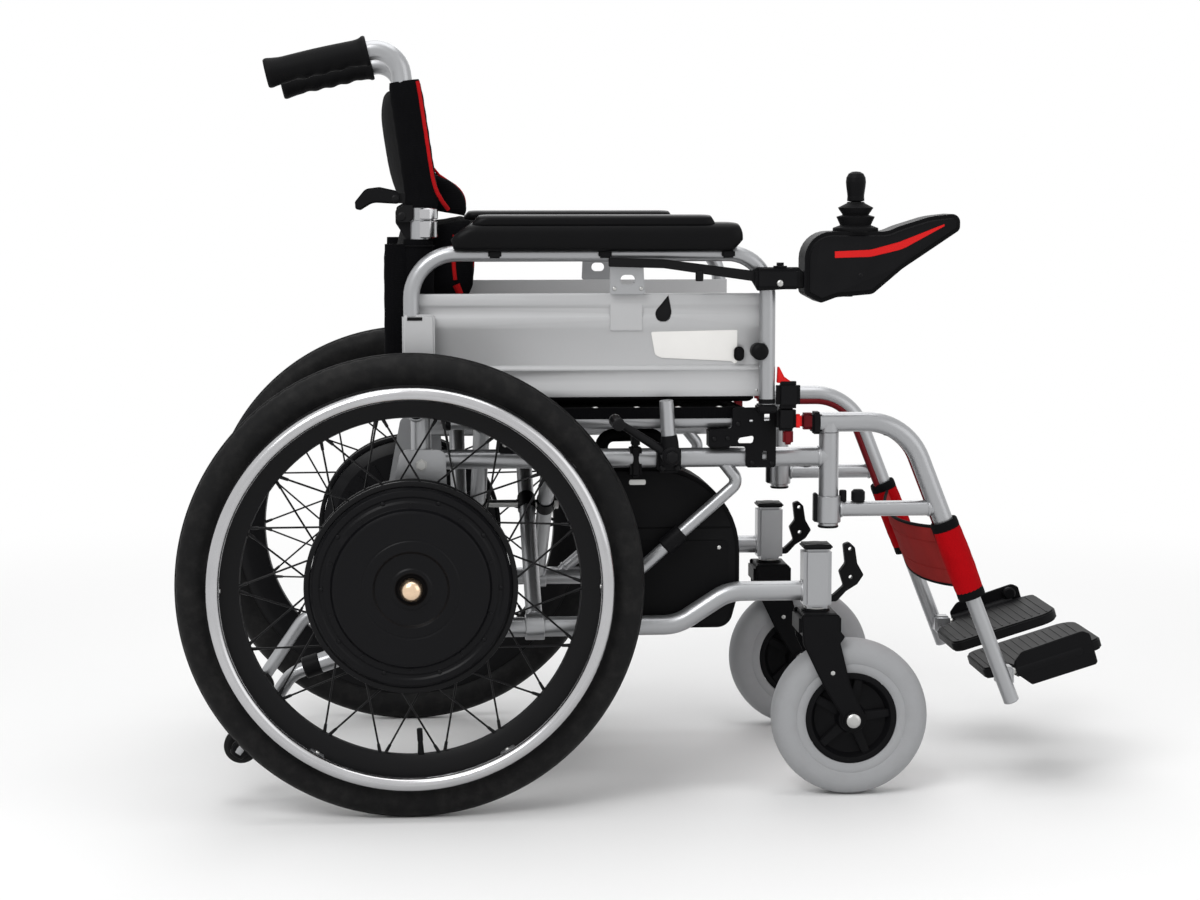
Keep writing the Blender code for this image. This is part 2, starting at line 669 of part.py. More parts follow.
def armrest(side):
    body = f"{side}_armrest"
    path = rounded(
        [at(ARM_REAR_X, ARM_HALF, 0.500), at(ARM_REAR_X, ARM_HALF, ARM_Z), at(ARM_FRONT_X, ARM_HALF, ARM_Z),
         at(ARM_FRONT_X, ARM_HALF, 0.503)],
        [0, 0.055, 0.050, 0],
        5,
    )
    link_foot = PANEL_HIGH + GAP
    link = outline([(0.246, link_foot), (0.290, link_foot), (0.288, 0.684), (0.248, 0.684)], 0.002, 1)
    adds = [
        rod(at(ARM_PIVOT.x, 0.2310, ARM_PIVOT.z), at(ARM_PIVOT.x, 0.2495, ARM_PIVOT.z), 0.013, 14),
        plate(link, 0.2360, 0.2405),
    ]
    cuts = [
        rod(at(ARM_PIVOT.x, 0.220, ARM_PIVOT.z), at(ARM_PIVOT.x, 0.260, ARM_PIVOT.z), 0.0063, 14),
        rod(at(0.269, 0.230, 0.6575), at(0.269, 0.250, 0.6575), 0.006, 10),
    ]
    piece("arm_frame", "silver", body, tube(path, ARM_TUBE_R), adds, cuts, side)

    shape = outline(
        [(0.057, 0.6915), (0.395, 0.6915), (0.409, 0.7000), (0.399, 0.7350), (0.084, 0.7375),
         (0.051, 0.7060)],
        [0.006, 0.006, 0.008, 0.018, 0.022, 0.010],
        2,
    )
    pad = softened(plate(shape, PAD_HALF - 0.024, PAD_HALF + 0.024), 0.007, 2, 60)
    groove = rod(at(0.05, ARM_HALF, ARM_Z), at(0.42, ARM_HALF, ARM_Z), ARM_TUBE_R + GAP + 0.0002, 20)
    piece("arm_pad", "black_foam", body, pad, (), [groove], side)

    section = [(-PANEL_IN, PANEL_LOW), (-0.2282, PANEL_LOW), (-PANEL_OUT, 0.520), (-PANEL_OUT, 0.535),
               (-0.2270, 0.541), (-0.2270, 0.594), (-0.2285, 0.597), (-0.2285, 0.611), (-0.2272, 0.614),
               (-0.2272, 0.623), (-PANEL_OUT, 0.626), (-PANEL_OUT, 0.638), (-0.2285, PANEL_HIGH),
               (-PANEL_IN, PANEL_HIGH)]
    drop = outline(
        [(0.3165, 0.635), (0.3235, 0.612), (0.3145, 0.603), (0.3055, 0.612)],
        [0, 0.006, 0.006, 0.006],
        2,
    )
    cuts = [plate(drop, 0.210, 0.240)]
    panel = prism(section, ARM_REAR_X - 0.008, ARM_FRONT_X + 0.009, "yz")
    piece("side_panel", "panel_grey", body, panel, (), cuts, side)


def joystick():
    body = "right_armrest"
    bar = outline(
        [(0.244, 0.6850), (0.312, 0.6830), (0.420, 0.6690), (0.430, 0.6790), (0.4690, 0.6790),
         (0.4836, 0.6680), (0.4836, 0.6450), (0.430, 0.6430), (0.420, 0.6560), (0.312, 0.6720),
         (0.244, 0.6740)],
        0.0015,
        1,
    )
    adds = [softened(block((0.4270, 0.4740), (0.2510, 0.2680), (0.6460, 0.6760)), 0.003, 1)]
    piece("joystick_bar", "black_metal", body, plate(bar, 0.2504, 0.2575), adds)

    shape = outline(
        [(0.491, 0.708), (0.484, 0.676), (0.489, 0.646), (0.503, 0.632), (0.535, 0.634), (0.570, 0.643),
         (0.623, 0.676), (0.670, 0.710), (0.676, 0.726), (0.660, 0.738), (0.596, 0.717), (0.505, 0.717)],
        [0.006, 0.015, 0.010, 0.010, 0.02, 0.03, 0.05, 0.008, 0.006, 0.008, 0.05, 0.008],
        2,
    )
    housing = softened(plate(shape, 0.2130, 0.2730), 0.006, 2, 60)
    piece("joystick_housing", "black_plastic", body, housing)

    boot = [(0.0058, 0.0028), (0.0250, 0.0028), (0.0250, 0.0070), (0.0175, 0.0090), (0.0228, 0.0195),
            (0.0165, 0.0225), (0.0208, 0.0310), (0.0115, 0.0365), (0.0058, 0.0365)]
    piece("joystick_boot", "rubber", "joystick_gimbal", turned(boot, STICK_PIVOT, Z_AXIS, 14, X_AXIS))
    stick = [(0, 0.0045), (0.0040, 0.0045), (0.0040, 0.0375), (0.0110, 0.0385), (0.0105, 0.0450),
             (0.0125, 0.0580), (0.0124, 0.0650), (0.0085, 0.0725), (0, 0.0750)]
    lever = turned(stick, STICK_PIVOT, Z_AXIS, 12, X_AXIS)
    piece("joystick_stick", "black_plastic", "joystick_stick", lever)


# Cross, seat, back and battery


def cross(name, xs, low_y):
    """One half of the scissor: sleeves on a lower tube, two arms and the far seat rail."""
    high_y = -low_y
    sleeves = [rod((x - 0.012, low_y, LOWER_Z), (x + 0.012, low_y, LOWER_Z), 0.0165, 14) for x in xs]
    arms = [tube([(x, low_y, LOWER_Z), (x, high_y, RAIL_Z)], 0.0105, across=X_AXIS) for x in xs]
    rail = tube([(RAIL_REAR, high_y, RAIL_Z), (RAIL_FRONT, high_y, RAIL_Z)], RAIL_R)
    cuts = [
        rod((xs[0] - 0.03, low_y, LOWER_Z), (xs[-1] + 0.03, low_y, LOWER_Z), TUBE_R + 0.0006, 20),
        rod((xs[0] - 0.03, 0, CROSS_PIVOT.z), (xs[-1] + 0.03, 0, CROSS_PIVOT.z), 0.0056, 12),
    ]
    piece(name, "silver", name, rail, arms + sleeves, cuts)


def cross_bolt():
    middle = Vector(CROSS_PIVOT)
    start = middle + X_AXIS * 0.0485
    profile = [(0, 0), (0.009, 0), (0.009, 0.0055), (0.005, 0.0055), (0.005, 0.1430), (0.009, 0.1430),
               (0.009, 0.1490), (0, 0.1490)]
    piece("cross_bolt", "steel", "cross_a", turned(profile, start, X_AXIS, 10, Z_AXIS))


def seat():
    def sling_place(u, v, w):
        sag = 0.004 * (1 - v * v)
        return Vector((0.2325 + 0.1855 * u, 0.2155 * v, 0.4957 + w - sag))

    def cushion_place(u, v, w):
        pull_x = 1 - 0.020 * (1 - v * v)
        pull_y = 1 - 0.025 * (1 - u * u)
        lift = max(w, 0)
        seam = 0.003 if abs(u) > 0.98 or abs(v) > 0.98 else 0
        x = 0.2430 + (0.1930 + seam) * u * pull_x
        return Vector((x, 0.1990 * v * pull_y, 0.5128 + w + 0.25 * lift))

    piece("seat_sling", "black_fabric", "seat", pillow(sling_place, 6, 8, 0.0022, 0.0))
    cushion = pillow(cushion_place, 14, 14, 0.0115, 0.018, flat_back=True)
    piece("seat_cushion", "black_fabric", "seat", cushion)


def ramp(value, low, high):
    """0 where value is at low, 1 at high and smooth between them."""
    share = min(max((value - low) / (high - low), 0), 1)
    return share * share * (3 - 2 * share)


def back():
    """Two padded halves of a backrest. A lumbar roll that is fuller at its sides bulges forward."""
    half = FRAME_HALF - TUBE_R - 0.0025

    def roll(u, reach):
        return LUMBAR_REACH * reach * (0.55 + 0.45 * ramp(abs(u), 0.35, 0.85))

    def lower_place(u, v, w):
        z = 0.6190 + 0.1030 * v
        sag = 0.014 * (1 - u * u)
        front = roll(u, ramp(z, 0.585, 0.660)) if w < 0 else 0
        return Vector((CANE_X - w - sag + front, half * u, z))

    def upper_place(u, v, w):
        z = 0.8205 + 0.0725 * v
        lean = -0.165 * (z - 0.745)
        sag = 0.014 * (1 - u * u)
        front = roll(u, 0.75 * ramp(z, 0.792, 0.766)) if w < 0 else 0
        return Vector((CANE_X + 0.006 + lean - w - sag + front, (half - 0.0055) * u, z))

    piece("back_lower", "black_fabric", "right_frame", pillow(lower_place, 12, 12, 0.010, 0.010))
    piece("back_upper", "black_fabric", "right_upper_back", pillow(upper_place, 12, 12, 0.012, 0.013))


def upper_back(side):
    body = f"{side}_upper_back"
    path = rounded(
        [at(CANE_X, FRAME_HALF, CANE_TOP + 0.0006), at(CANE_X, FRAME_HALF, 0.762),
         at(-0.0125, GRIP_HALF, 0.945), at(-0.165, GRIP_HALF, 0.9103)],
        [0, 0.06, 0.032, 0],
        5,
    )
    ear = outline(
        [(0.006, 0.7312), (0.006, 0.7490), (-0.005, 0.7490), (-0.0155, 0.7425), (-0.0155, 0.7280),
         (-0.0005, 0.7280)],
        [0, 0, 0.003, 0.004, 0.006, 0.004],
        2,
    )
    latch_ear = outline(
        [(0.006, 0.751), (0.006, 0.763), (-0.0215, 0.763), (-0.0215, 0.751)],
        [0, 0, 0.005, 0.005],
        2,
    )
    inner, outer = FRAME_HALF - TUBE_R, FRAME_HALF + TUBE_R
    back_x, back_z = BACK_PIVOT.x, BACK_PIVOT.z
    latch_x, latch_z = LATCH_PIVOT.x, LATCH_PIVOT.z
    adds = [
        plate(ear, inner, FRAME_HALF - 0.0056),
        plate(ear, FRAME_HALF + 0.0056, outer),
        plate(latch_ear, FRAME_HALF - 0.0032, FRAME_HALF + 0.0032),
        rod(at(back_x, inner + 0.001, back_z), at(back_x, outer - 0.001, back_z), 0.0038, 10),
    ]
    cuts = [rod(at(latch_x, 0.19, latch_z), at(latch_x, 0.22, latch_z), 0.0036, 10)]
    piece("upper_cane", "silver", body, tube(path, TUBE_R), adds, cuts, side)

    tip = at(-0.172, GRIP_HALF, 0.9087)
    start = at(-0.0475, GRIP_HALF, 0.9370)
    length = (tip - start).length
    grip = [(0, length - 0.005), (0.0131, length - 0.005), (0.0131, 0), (0.0158, 0), (0.0170, 0.004),
            (0.0160, 0.050), (0.0170, 0.110), (0.0160, length - 0.002), (0.0130, length), (0, length)]
    piece("push_grip", "rubber", body, turned(grip, start, tip - start, 16, Z_AXIS), side=side)

    shape = outline(
        [(-0.0085, 0.7640), (-0.0387, 0.7705), (-0.0520, 0.7690), (-0.0650, 0.7530), (-0.0645, 0.7440),
         (-0.0580, 0.7425), (-0.0435, 0.7520), (-0.0085, 0.7500)],
        [0.006, 0.01, 0.012, 0.004, 0.003, 0.004, 0.02, 0.006],
        2,
    )
    latch_body = f"{side}_back_latch"
    lever = softened(plate(shape, FRAME_HALF - 0.009, FRAME_HALF + 0.009), 0.002, 1, 60)
    slot = block((-0.0260, 0.0), (FRAME_HALF - 0.0038, FRAME_HALF + 0.0038), (0.735, 0.785))
    latch = piece("back_latch", "black_plastic", latch_body, lever, (), [slot], side)
    # The pin crosses the slot, so it is welded in after the slot is cut
    pin = rod(at(latch_x, FRAME_HALF - 0.007, latch_z), at(latch_x, FRAME_HALF + 0.007, latch_z), 0.0031, 8)
    combine(latch, pin, latch_body, MIRROR[side], "UNION")


def battery_box():
    shape = outline(
        [(0.236, 0.2122), (0.404, 0.2122), (0.417, 0.2600), (0.417, 0.4200), (0.236, 0.4200)],
        [0.012, 0.02, 0.03, 0.11, 0.008],
        5,
    )
    case = softened(plate(shape, 0.106, 0.1895), 0.005, 2, 60)
    grooves = []
    for low, high in ((0.1045, 0.1075), (0.188, 0.191)):
        grooves.append(block((0.22, 0.43), (low, high), (0.3410, 0.3430)))
    grooves.append(block((0.4155, 0.43), (0.10, 0.20), (0.3410, 0.3430)))
    piece("battery_box", "battery_black", "right_frame", case, (), grooves)


def build():
    clear_scene()
    LOOKS.update({
        "silver": material("silver_paint", (0.66, 0.67, 0.68), 0.32, 0.55),
        "steel": material("steel", (0.60, 0.60, 0.60), 0.30, 1.0),
        "brass": material("brass", (0.80, 0.62, 0.40), 0.30, 1.0),
        "panel_grey": material("panel_plastic", (0.74, 0.75, 0.76), 0.45),
        "black_plastic": material("black_plastic", (0.025, 0.025, 0.028), 0.45),
        "black_metal": material("black_metal", (0.030, 0.030, 0.032), 0.40, 0.3),
        "battery_black": material("battery_case", (0.030, 0.030, 0.033), 0.55),
        "rubber": material("rubber", (0.025, 0.025, 0.025), 0.70),
        "tyre_black": material("black_tyre", (0.030, 0.030, 0.030), 0.75),
        "tyre_grey": material("grey_tyre", (0.52, 0.53, 0.54), 0.60),
        "black_foam": material("arm_foam", (0.035, 0.035, 0.035), 0.65),
        "black_fabric": material("black_fabric", (0.022, 0.022, 0.024), 0.90),
        "red": material("red_webbing", (0.55, 0.02, 0.06), 0.80),
    })
    joint("right_frame", CHAIR)
    joint("cross_a", FOLD_PIVOT, "right_frame")
    joint("cross_b", CROSS_PIVOT, "cross_a")
    joint("seat", RAIL_PIVOT, "cross_a")
    joint("left_frame", CHAIR + Vector((0, FRAME_HALF, LOWER_Z)), "cross_b")
    for side, mirror in MIRROR.items():
        flip = Vector((1, mirror, 1))
        frame = f"{side}_frame"
        for name, place, parent in (
            (f"{side}_wheel", AXLE, frame),
            (f"{side}_brake", BRAKE_PIVOT, frame),
            (f"{side}_caster_fork", STEM, frame),
            (f"{side}_caster_wheel", CASTER_AXLE, f"{side}_caster_fork"),
            (f"{side}_hanger", HANGER_PIVOT, frame),
            (f"{side}_footplate", FOOT_PIVOT, f"{side}_hanger"),
            (f"{side}_armrest", ARM_PIVOT, frame),
            (f"{side}_upper_back", BACK_PIVOT, frame),
            (f"{side}_back_latch", LATCH_PIVOT, f"{side}_upper_back"),
            (f"{side}_anti_tip", ROLLER_PIVOT, frame),
        ):
            joint(name, place * flip, parent)
    joint("joystick_gimbal", STICK_PIVOT, "right_armrest")
    joint("joystick_stick", STICK_PIVOT, "joystick_gimbal")

    for side in MIRROR:
        side_frame(side)
        axle_plate(side)
        rear_axle_nut(side)
        seat_bracket(side)
        brake(side)
        rear_wheel(side)
        caster(side)
        anti_tip_roller(side)
        hanger(side)
        footplate(side)
        armrest(side)
        upper_back(side)
    cross("cross_a", CROSS_A_X, -FRAME_HALF)
    cross("cross_b", CROSS_B_X, FRAME_HALF)
    cross_bolt()
    seat()
    back()
    battery_box()
    calf_strap()
    joystick()


build()
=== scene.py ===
"""Looks of the folding power wheelchair.

Metres, +X forward, +Y to the chair's left, +Z up. As in the solids' source, a place is given from the
point on the floor under the rear axle and for the right hand side. build() mirrors it and moves it.
"""
import math
import random

import bmesh
import bpy
from mathutils import Matrix, Vector
from mathutils.bvhtree import BVHTree


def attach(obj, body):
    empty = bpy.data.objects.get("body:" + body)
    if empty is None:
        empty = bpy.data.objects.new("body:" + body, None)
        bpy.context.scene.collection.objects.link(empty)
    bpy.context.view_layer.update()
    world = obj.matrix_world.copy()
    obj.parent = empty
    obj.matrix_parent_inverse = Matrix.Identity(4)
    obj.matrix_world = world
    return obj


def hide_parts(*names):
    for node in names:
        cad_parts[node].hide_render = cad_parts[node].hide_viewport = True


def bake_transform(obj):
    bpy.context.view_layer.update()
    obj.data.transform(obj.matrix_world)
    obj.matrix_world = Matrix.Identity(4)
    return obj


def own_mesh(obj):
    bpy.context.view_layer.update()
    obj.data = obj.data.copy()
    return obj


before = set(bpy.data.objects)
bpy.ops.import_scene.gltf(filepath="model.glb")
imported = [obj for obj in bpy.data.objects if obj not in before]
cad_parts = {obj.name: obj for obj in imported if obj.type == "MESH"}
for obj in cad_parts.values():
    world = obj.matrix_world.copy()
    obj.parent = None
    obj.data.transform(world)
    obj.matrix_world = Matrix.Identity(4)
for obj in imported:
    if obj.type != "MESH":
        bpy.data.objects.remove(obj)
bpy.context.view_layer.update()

# Sizes and places. A half is a distance from the chair's middle

SHIFT = Vector((-0.3044, 0, 0))
TYRE_R = 0.286
FRAME_HALF = 0.205
WHEEL_HALF = 0.285
ARM_HALF = 0.240
PAD_HALF = 0.2435
GRIP_HALF = 0.200
BRAKE_HALF = 0.249
TUBE_R = 0.0125
ARM_TUBE_R = 0.010
CROSS_R = 0.0105
LOWER_Z = 0.220
LOWER_FRONT_Z = 0.262
UPPER_Z = 0.433
RAIL_Z = 0.481
CANE_X = 0.014
CANE_TOP = 0.7297
CANE_BEND_Z = 0.762
COLLAR_X = 0.0220
POST_X = 0.527
STEM_X = 0.512
CASTER_X = 0.556
CASTER_Z = 0.100
HANGER_Z = 0.4765
STRUT_Z = 0.366
HANGER_BEND_X = 0.625
HANGER_END = (0.768, 0.113)
ARM_Z = 0.690
ARM_REAR_X = 0.003
ARM_FRONT_X = 0.4425
ARM_PIN = (0.008, 0.497)
BACK_PIN = (-0.008, 0.735)
PANEL_IN = 0.2192
PANEL_OUT = 0.2297
PANEL_LOW = 0.512
PANEL_HIGH = 0.640
FOOT_PIN = Vector((0.776, -0.184, 0.150))
FOOT_TILT = math.radians(17)
STICK = Vector((0.551, -0.243, 0.715))
BRAKE_PIN = (0.322, 0.440)
ROLLER = Vector((-0.215, -0.185, 0.070))
AXLE = Vector((0, -WHEEL_HALF, TYRE_R))
PLATE_FACE = FRAME_HALF + TUBE_R + 0.0003
SPOKES = 36
LUMBAR_REACH = 0.058
BACK_HALF = FRAME_HALF - TUBE_R - 0.0025
SEAT_MIDDLE_X = 0.2430

SIDES = ("right", "left")
X_AXIS = Vector((1, 0, 0))
Y_AXIS = Vector((0, 1, 0))
Z_AXIS = Vector((0, 0, 1))
OUTWARD = -Y_AXIS
WHITE = (1, 1, 1, 1)


# Materials


def add_node(tree, kind, links=None, **settings):
    """A new node. links gives a socket another node's output or a value."""
    node = tree.nodes.new(kind)
    for name, value in settings.items():
        setattr(node, name, value)
    for socket, value in (links or {}).items():
        if isinstance(value, bpy.types.NodeSocket):
            tree.links.new(value, node.inputs[socket])
        else:
            node.inputs[socket].default_value = value
    return node


def shade(colour, share, lift=0.0):
    return tuple(min(c * share + lift, 1) for c in colour)


class Look:
    """A Principled material being wired up. shine is its specular level."""

    def __init__(self, name, colour, roughness, metallic=0.0, shine=0.5):
        self.material = bpy.data.materials.new(name)
        self.material.use_nodes = True
        self.tree = self.material.node_tree
        self.shader = self.tree.nodes["Principled BSDF"]
        self.roughness = roughness
        self.set("Base Color", (*colour, 1))
        self.set("Roughness", roughness)
        self.set("Metallic", metallic)
        self.set("Specular IOR Level", shine)
        self.coords = self.add("ShaderNodeTexCoord").outputs["Object"]

    def set(self, socket, value):
        self.shader.inputs[socket].default_value = value

    def add(self, kind, links=None, **settings):
        return add_node(self.tree, kind, links, **settings)

    def link(self, output, socket):
        self.tree.links.new(output, self.shader.inputs[socket])

    def noise(self, scale, detail, roughness=0.5, stretch=None):
        coords = self.coords
        if stretch:
            coords = self.add("ShaderNodeMapping", {"Vector": coords, "Scale": stretch}).outputs["Vector"]
        links = {"Vector": coords, "Scale": scale, "Detail": detail, "Roughness": roughness}
        return self.add("ShaderNodeTexNoise", links).outputs["Fac"]

    def math(self, operation, first, second=0.0, clamp=False):
        node = self.add("ShaderNodeMath", {0: first, 1: second}, operation=operation, use_clamp=clamp)
        return node.outputs[0]

    def ramp(self, value, low, high, start=0.0, end=1.0, **settings):
        """start where value is under low, end over high and even between them."""
        links = {"Value": value, "From Min": low, "From Max": high, "To Min": start, "To Max": end}
        return self.add("ShaderNodeMapRange", links, **settings).outputs["Result"]

    def tint(self, value, first, second):
        """Base colour from first to second as value goes from 0 to 1."""
        ends = [c if isinstance(c, bpy.types.NodeSocket) else (*c, 1) for c in (first, second)]
        mixed = self.add("ShaderNodeMix", {0: value, 6: ends[0], 7: ends[1]}, data_type="RGBA").outputs[2]
        self.link(mixed, "Base Color")
        return mixed

    def roughen(self, value, less, more):
        """Roughness from less under the look's own to more over it as value goes from 0 to 1."""
        self.link(self.ramp(value, 0, 1, self.roughness - less, self.roughness + more), "Roughness")

    def bump(self, height, distance, strength=1.0):
        links = {"Height": height, "Distance": distance, "Strength": strength}
        if self.shader.inputs["Normal"].is_linked:
            links["Normal"] = self.shader.inputs["Normal"].links[0].from_socket
        self.link(self.add("ShaderNodeBump", links).outputs["Normal"], "Normal")

    def edges(self):
        """1 on sharp outer edges."""
        return self.ramp(self.add("ShaderNodeNewGeometry").outputs["Pointiness"], 0.52, 0.60)

    def weave(self, first, second, pitch):
        """Over and under threads of this pitch along two axes, from -1 to 1."""
        axes = self.add("ShaderNodeSeparateXYZ", {"Vector": self.coords}).outputs
        turn = 2 * math.pi / pitch
        waves = [self.math("SINE", self.math("MULTIPLY", axes[axis], turn)) for axis in (first, second)]
        return self.math("MULTIPLY", *waves)


def lacquer(name, colour, roughness, metallic, coat=0.2):
    """Metallic paint: fine flakes, soft unevenness and a thin clear coat."""
    look = Look(name, colour, roughness, metallic, shine=0.12)
    look.set("Coat Weight", coat)
    look.set("Coat Roughness", 0.15)
    flakes = look.noise(1800, 2)
    cloud = look.noise(9, 4)
    mixed = look.math("ADD", look.math("MULTIPLY", flakes, 0.5), look.math("MULTIPLY", cloud, 0.5))
    look.tint(mixed, shade(colour, 0.90), shade(colour, 1.12))
    look.roughen(cloud, 0.06, 0.08)
    look.bump(look.noise(260, 3), 0.00004, 0.5)
    return look.material


def plastic(name, colour, roughness, grain=0.00006, grain_scale=1400, wear=1.25, shine=0.07):
    """Moulded plastic: spark-eroded grain, faint flow marks and paler worn edges."""
    look = Look(name, colour, roughness, shine=shine)
    cloud = look.noise(14, 5)
    worn = look.math("MULTIPLY", look.edges(), look.ramp(look.noise(40, 4), 0, 1, 0.2, 1.0))
    base = look.tint(cloud, shade(colour, 0.92), shade(colour, 1.08))
    look.tint(worn, base, shade(colour, wear, 0.003))
    look.roughen(cloud, 0.05, 0.07)
    look.bump(look.noise(grain_scale, 2), grain, 0.6)
    return look.material


def metal(name, colour, roughness, brushed=None):
    """Bare metal. brushed stretches its grain along each axis."""
    look = Look(name, colour, roughness, 1.0)
    cloud = look.noise(25, 4)
    look.tint(cloud, shade(colour, 0.88), shade(colour, 1.08))
    look.roughen(cloud, 0.06, 0.08)
    look.bump(look.noise(600, 3, stretch=brushed), 0.00003, 0.5)
    return look.material


def tyre_rubber(name, colour, roughness, dust):
    """Rubber with a fine matt skin and a little dust in patches."""
    look = Look(name, colour, roughness, shine=0.12)
    specks = look.ramp(look.noise(55, 6, 0.65), 0.45, 0.75)
    look.tint(look.math("MULTIPLY", specks, dust), colour, (0.20, 0.19, 0.18))
    look.roughen(look.noise(30, 4), 0.08, 0.1)
    look.bump(look.noise(900, 3), 0.00008, 0.6)
    return look.material


def fabric(name, colour, axes, pitch, roughness=0.9):
    """Woven cloth with threads along two axes, uneven dye and short fuzz."""
    look = Look(name, colour, roughness, shine=0.04)
    look.set("Sheen Weight", 0.012)
    look.set("Sheen Roughness", 0.45)
    threads = look.ramp(look.weave(*axes, pitch), 0, 1)
    dye = look.math("MULTIPLY", look.noise(22, 5, 0.6), 0.6)
    mixed = look.math("ADD", look.math("MULTIPLY", threads, 0.55), dye, clamp=True)
    look.tint(mixed, shade(colour, 0.62), shade(colour, 1.45, 0.001))
    look.bump(threads, 0.00022, 0.8)
    look.bump(look.noise(75, 5, 0.6), 0.0012, 0.35)
    return look.material


def foam_skin(name, colour, roughness):
    """Integral-skin foam: tight leather-like grain with a soft gloss."""
    look = Look(name, colour, roughness, shine=0.08)
    grain = look.add("ShaderNodeTexVoronoi", {"Vector": look.coords, "Scale": 620.0}, feature="F1")
    cloud = look.noise(12, 4)
    look.tint(cloud, shade(colour, 0.8), shade(colour, 1.3))
    look.roughen(cloud, 0.06, 0.08)
    look.bump(grain.outputs["Distance"], 0.00014, 0.5)
    look.bump(look.noise(60, 4), 0.0006, 0.25)
    return look.material


CLOTH_BLACK = (0.0028, 0.0028, 0.0034)
LOOKS = {
    "silver": lacquer("silver_paint", (0.345, 0.350, 0.360), 0.32, 0.78),
    "bright": metal("bright_aluminium", (0.47, 0.47, 0.48), 0.20),
    "steel": metal("zinc_steel", (0.45, 0.45, 0.44), 0.32, (1, 1, 8)),
    "brass": metal("brass_dome", (0.80, 0.60, 0.42), 0.24),
    "panel": lacquer("panel_silver", (0.455, 0.458, 0.465), 0.44, 0.30),
    "plate": plastic("bare_white_plate", (0.78, 0.77, 0.75), 0.30, 0.00002, shine=0.10),
    "black": plastic("black_plastic", (0.0036, 0.0036, 0.0042), 0.46),
    "gloss_black": plastic("gloss_black_plastic", (0.0042, 0.0042, 0.0050), 0.30, 0.00003, shine=0.10),
    "black_metal": lacquer("black_coating", (0.0042, 0.0042, 0.0048), 0.38, 0.0, 0.0),
    "case": plastic("battery_case", (0.0026, 0.0026, 0.0030), 0.52, 0.00010, 900),
    "rubber": plastic("grip_rubber", (0.0036, 0.0036, 0.0040), 0.60, 0.00012, 700, 1.15),
    "tread": tyre_rubber("black_tyre", (0.0052, 0.0052, 0.0055), 0.58, 0.045),
    "grey_tyre": tyre_rubber("grey_tyre", (0.34, 0.345, 0.355), 0.55, 0.12),
    "foam": foam_skin("arm_foam", (0.0028, 0.0028, 0.0032), 0.36),
    "seat_cloth": fabric("seat_cloth", CLOTH_BLACK, (0, 1), 0.0022),
    "back_cloth": fabric("back_cloth", CLOTH_BLACK, (1, 2), 0.0022),
    "strap_cloth": fabric("strap_webbing", (0.36, 0.028, 0.026), (1, 2), 0.0026),
    "sleeve_cloth": fabric("sleeve_padding", (0.40, 0.002, 0.005), (0, 2), 0.0018, 0.78),
    "binding": fabric("black_binding", (0.0050, 0.0050, 0.0055), (0, 2), 0.0016, 0.85),
    "piping": fabric("red_piping", (0.42, 0.008, 0.010), (0, 2), 0.0014, 0.7),
    "red": plastic("red_plastic", (0.60, 0.014, 0.014), 0.32, 0.00003, shine=0.10),
    "dark_red": plastic("dark_red_plastic", (0.12, 0.005, 0.008), 0.36, 0.00003, shine=0.10),
}


# Shapes


def at(x, half, z):
    return Vector((x, -half, z))


def on_frame(x, z):
    """A place in the plane of the side frame's tubes."""
    return at(x, FRAME_HALF, z)


def turns(count, offset=0):
    """Angles evenly round a circle."""
    return [2 * math.pi * (k + offset) / count for k in range(count)]


def rounded(points, radius, steps=8, closed=False):
    """A path whose corners are arcs. radius is one number, or one for each point."""
    points = [Vector(p) for p in points]
    count = len(points)
    path = []
    for i, corner in enumerate(points):
        bend = radius[i] if isinstance(radius, (list, tuple)) else radius
        if bend == 0 or (not closed and i in (0, count - 1)):
            path.append(corner)
            continue
        back = (points[i - 1] - corner).normalized()
        ahead = (points[(i + 1) % count] - corner).normalized()
        half = back.angle(ahead) / 2
        centre = corner + (back + ahead).normalized() * bend / math.sin(half)
        first = corner + back * bend / math.tan(half) - centre
        last = corner + ahead * bend / math.tan(half) - centre
        path += [centre + bend * first.slerp(last, s / steps) for s in range(steps + 1)]
    return path


def outline(points, radius=0, steps=5):
    return rounded([(p, q, 0) for p, q in points], radius, steps, closed=True)


def faced_out(bm):
    bmesh.ops.recalc_face_normals(bm, faces=bm.faces)
    return bm


def bridge(bm, ring, following):
    count = len(ring)
    for k in range(count):
        j = (k + 1) % count
        bm.faces.new((ring[k], ring[j], following[j], following[k]))


def lofted(bm, rings, closed=False):
    """Walls from ring to ring, then two ends, or a last wall back to the first ring."""
    for ring, following in zip(rings, rings[1:]):
        bridge(bm, ring, following)
    if closed:
        bridge(bm, rings[-1], rings[0])
    else:
        bm.faces.new(rings[0])
        bm.faces.new(rings[-1])
    return faced_out(bm)


def guide_for(axis):
    """Z, or X where the axis is nearly upright."""
    return Z_AXIS if abs(axis.z) < 0.9 else X_AXIS


def sweep(path, radius, sides=24, flat=1.0, closed=False):
    """A round or oval bar along any path. radius may be one number for each point."""
    bm = bmesh.new()
    path = [Vector(p) for p in path]
    count = len(path)
    rings = []
    side = None
    for i, point in enumerate(path):
        before = path[i - 1] if closed or i else path[0]
        after = path[(i + 1) % count] if closed or i + 1 < count else path[-1]
        along = (after - before).normalized()
        if side is None:
            side = along.cross(guide_for(along))
        side = (side - along * side.dot(along)).normalized()
        up = along.cross(side)
        size = radius[i] if isinstance(radius, (list, tuple)) else radius
        rings.append([bm.verts.new(point + size * (math.cos(turn) * side + flat * math.sin(turn) * up))
                      for turn in turns(sides)])
    return lofted(bm, rings, closed)


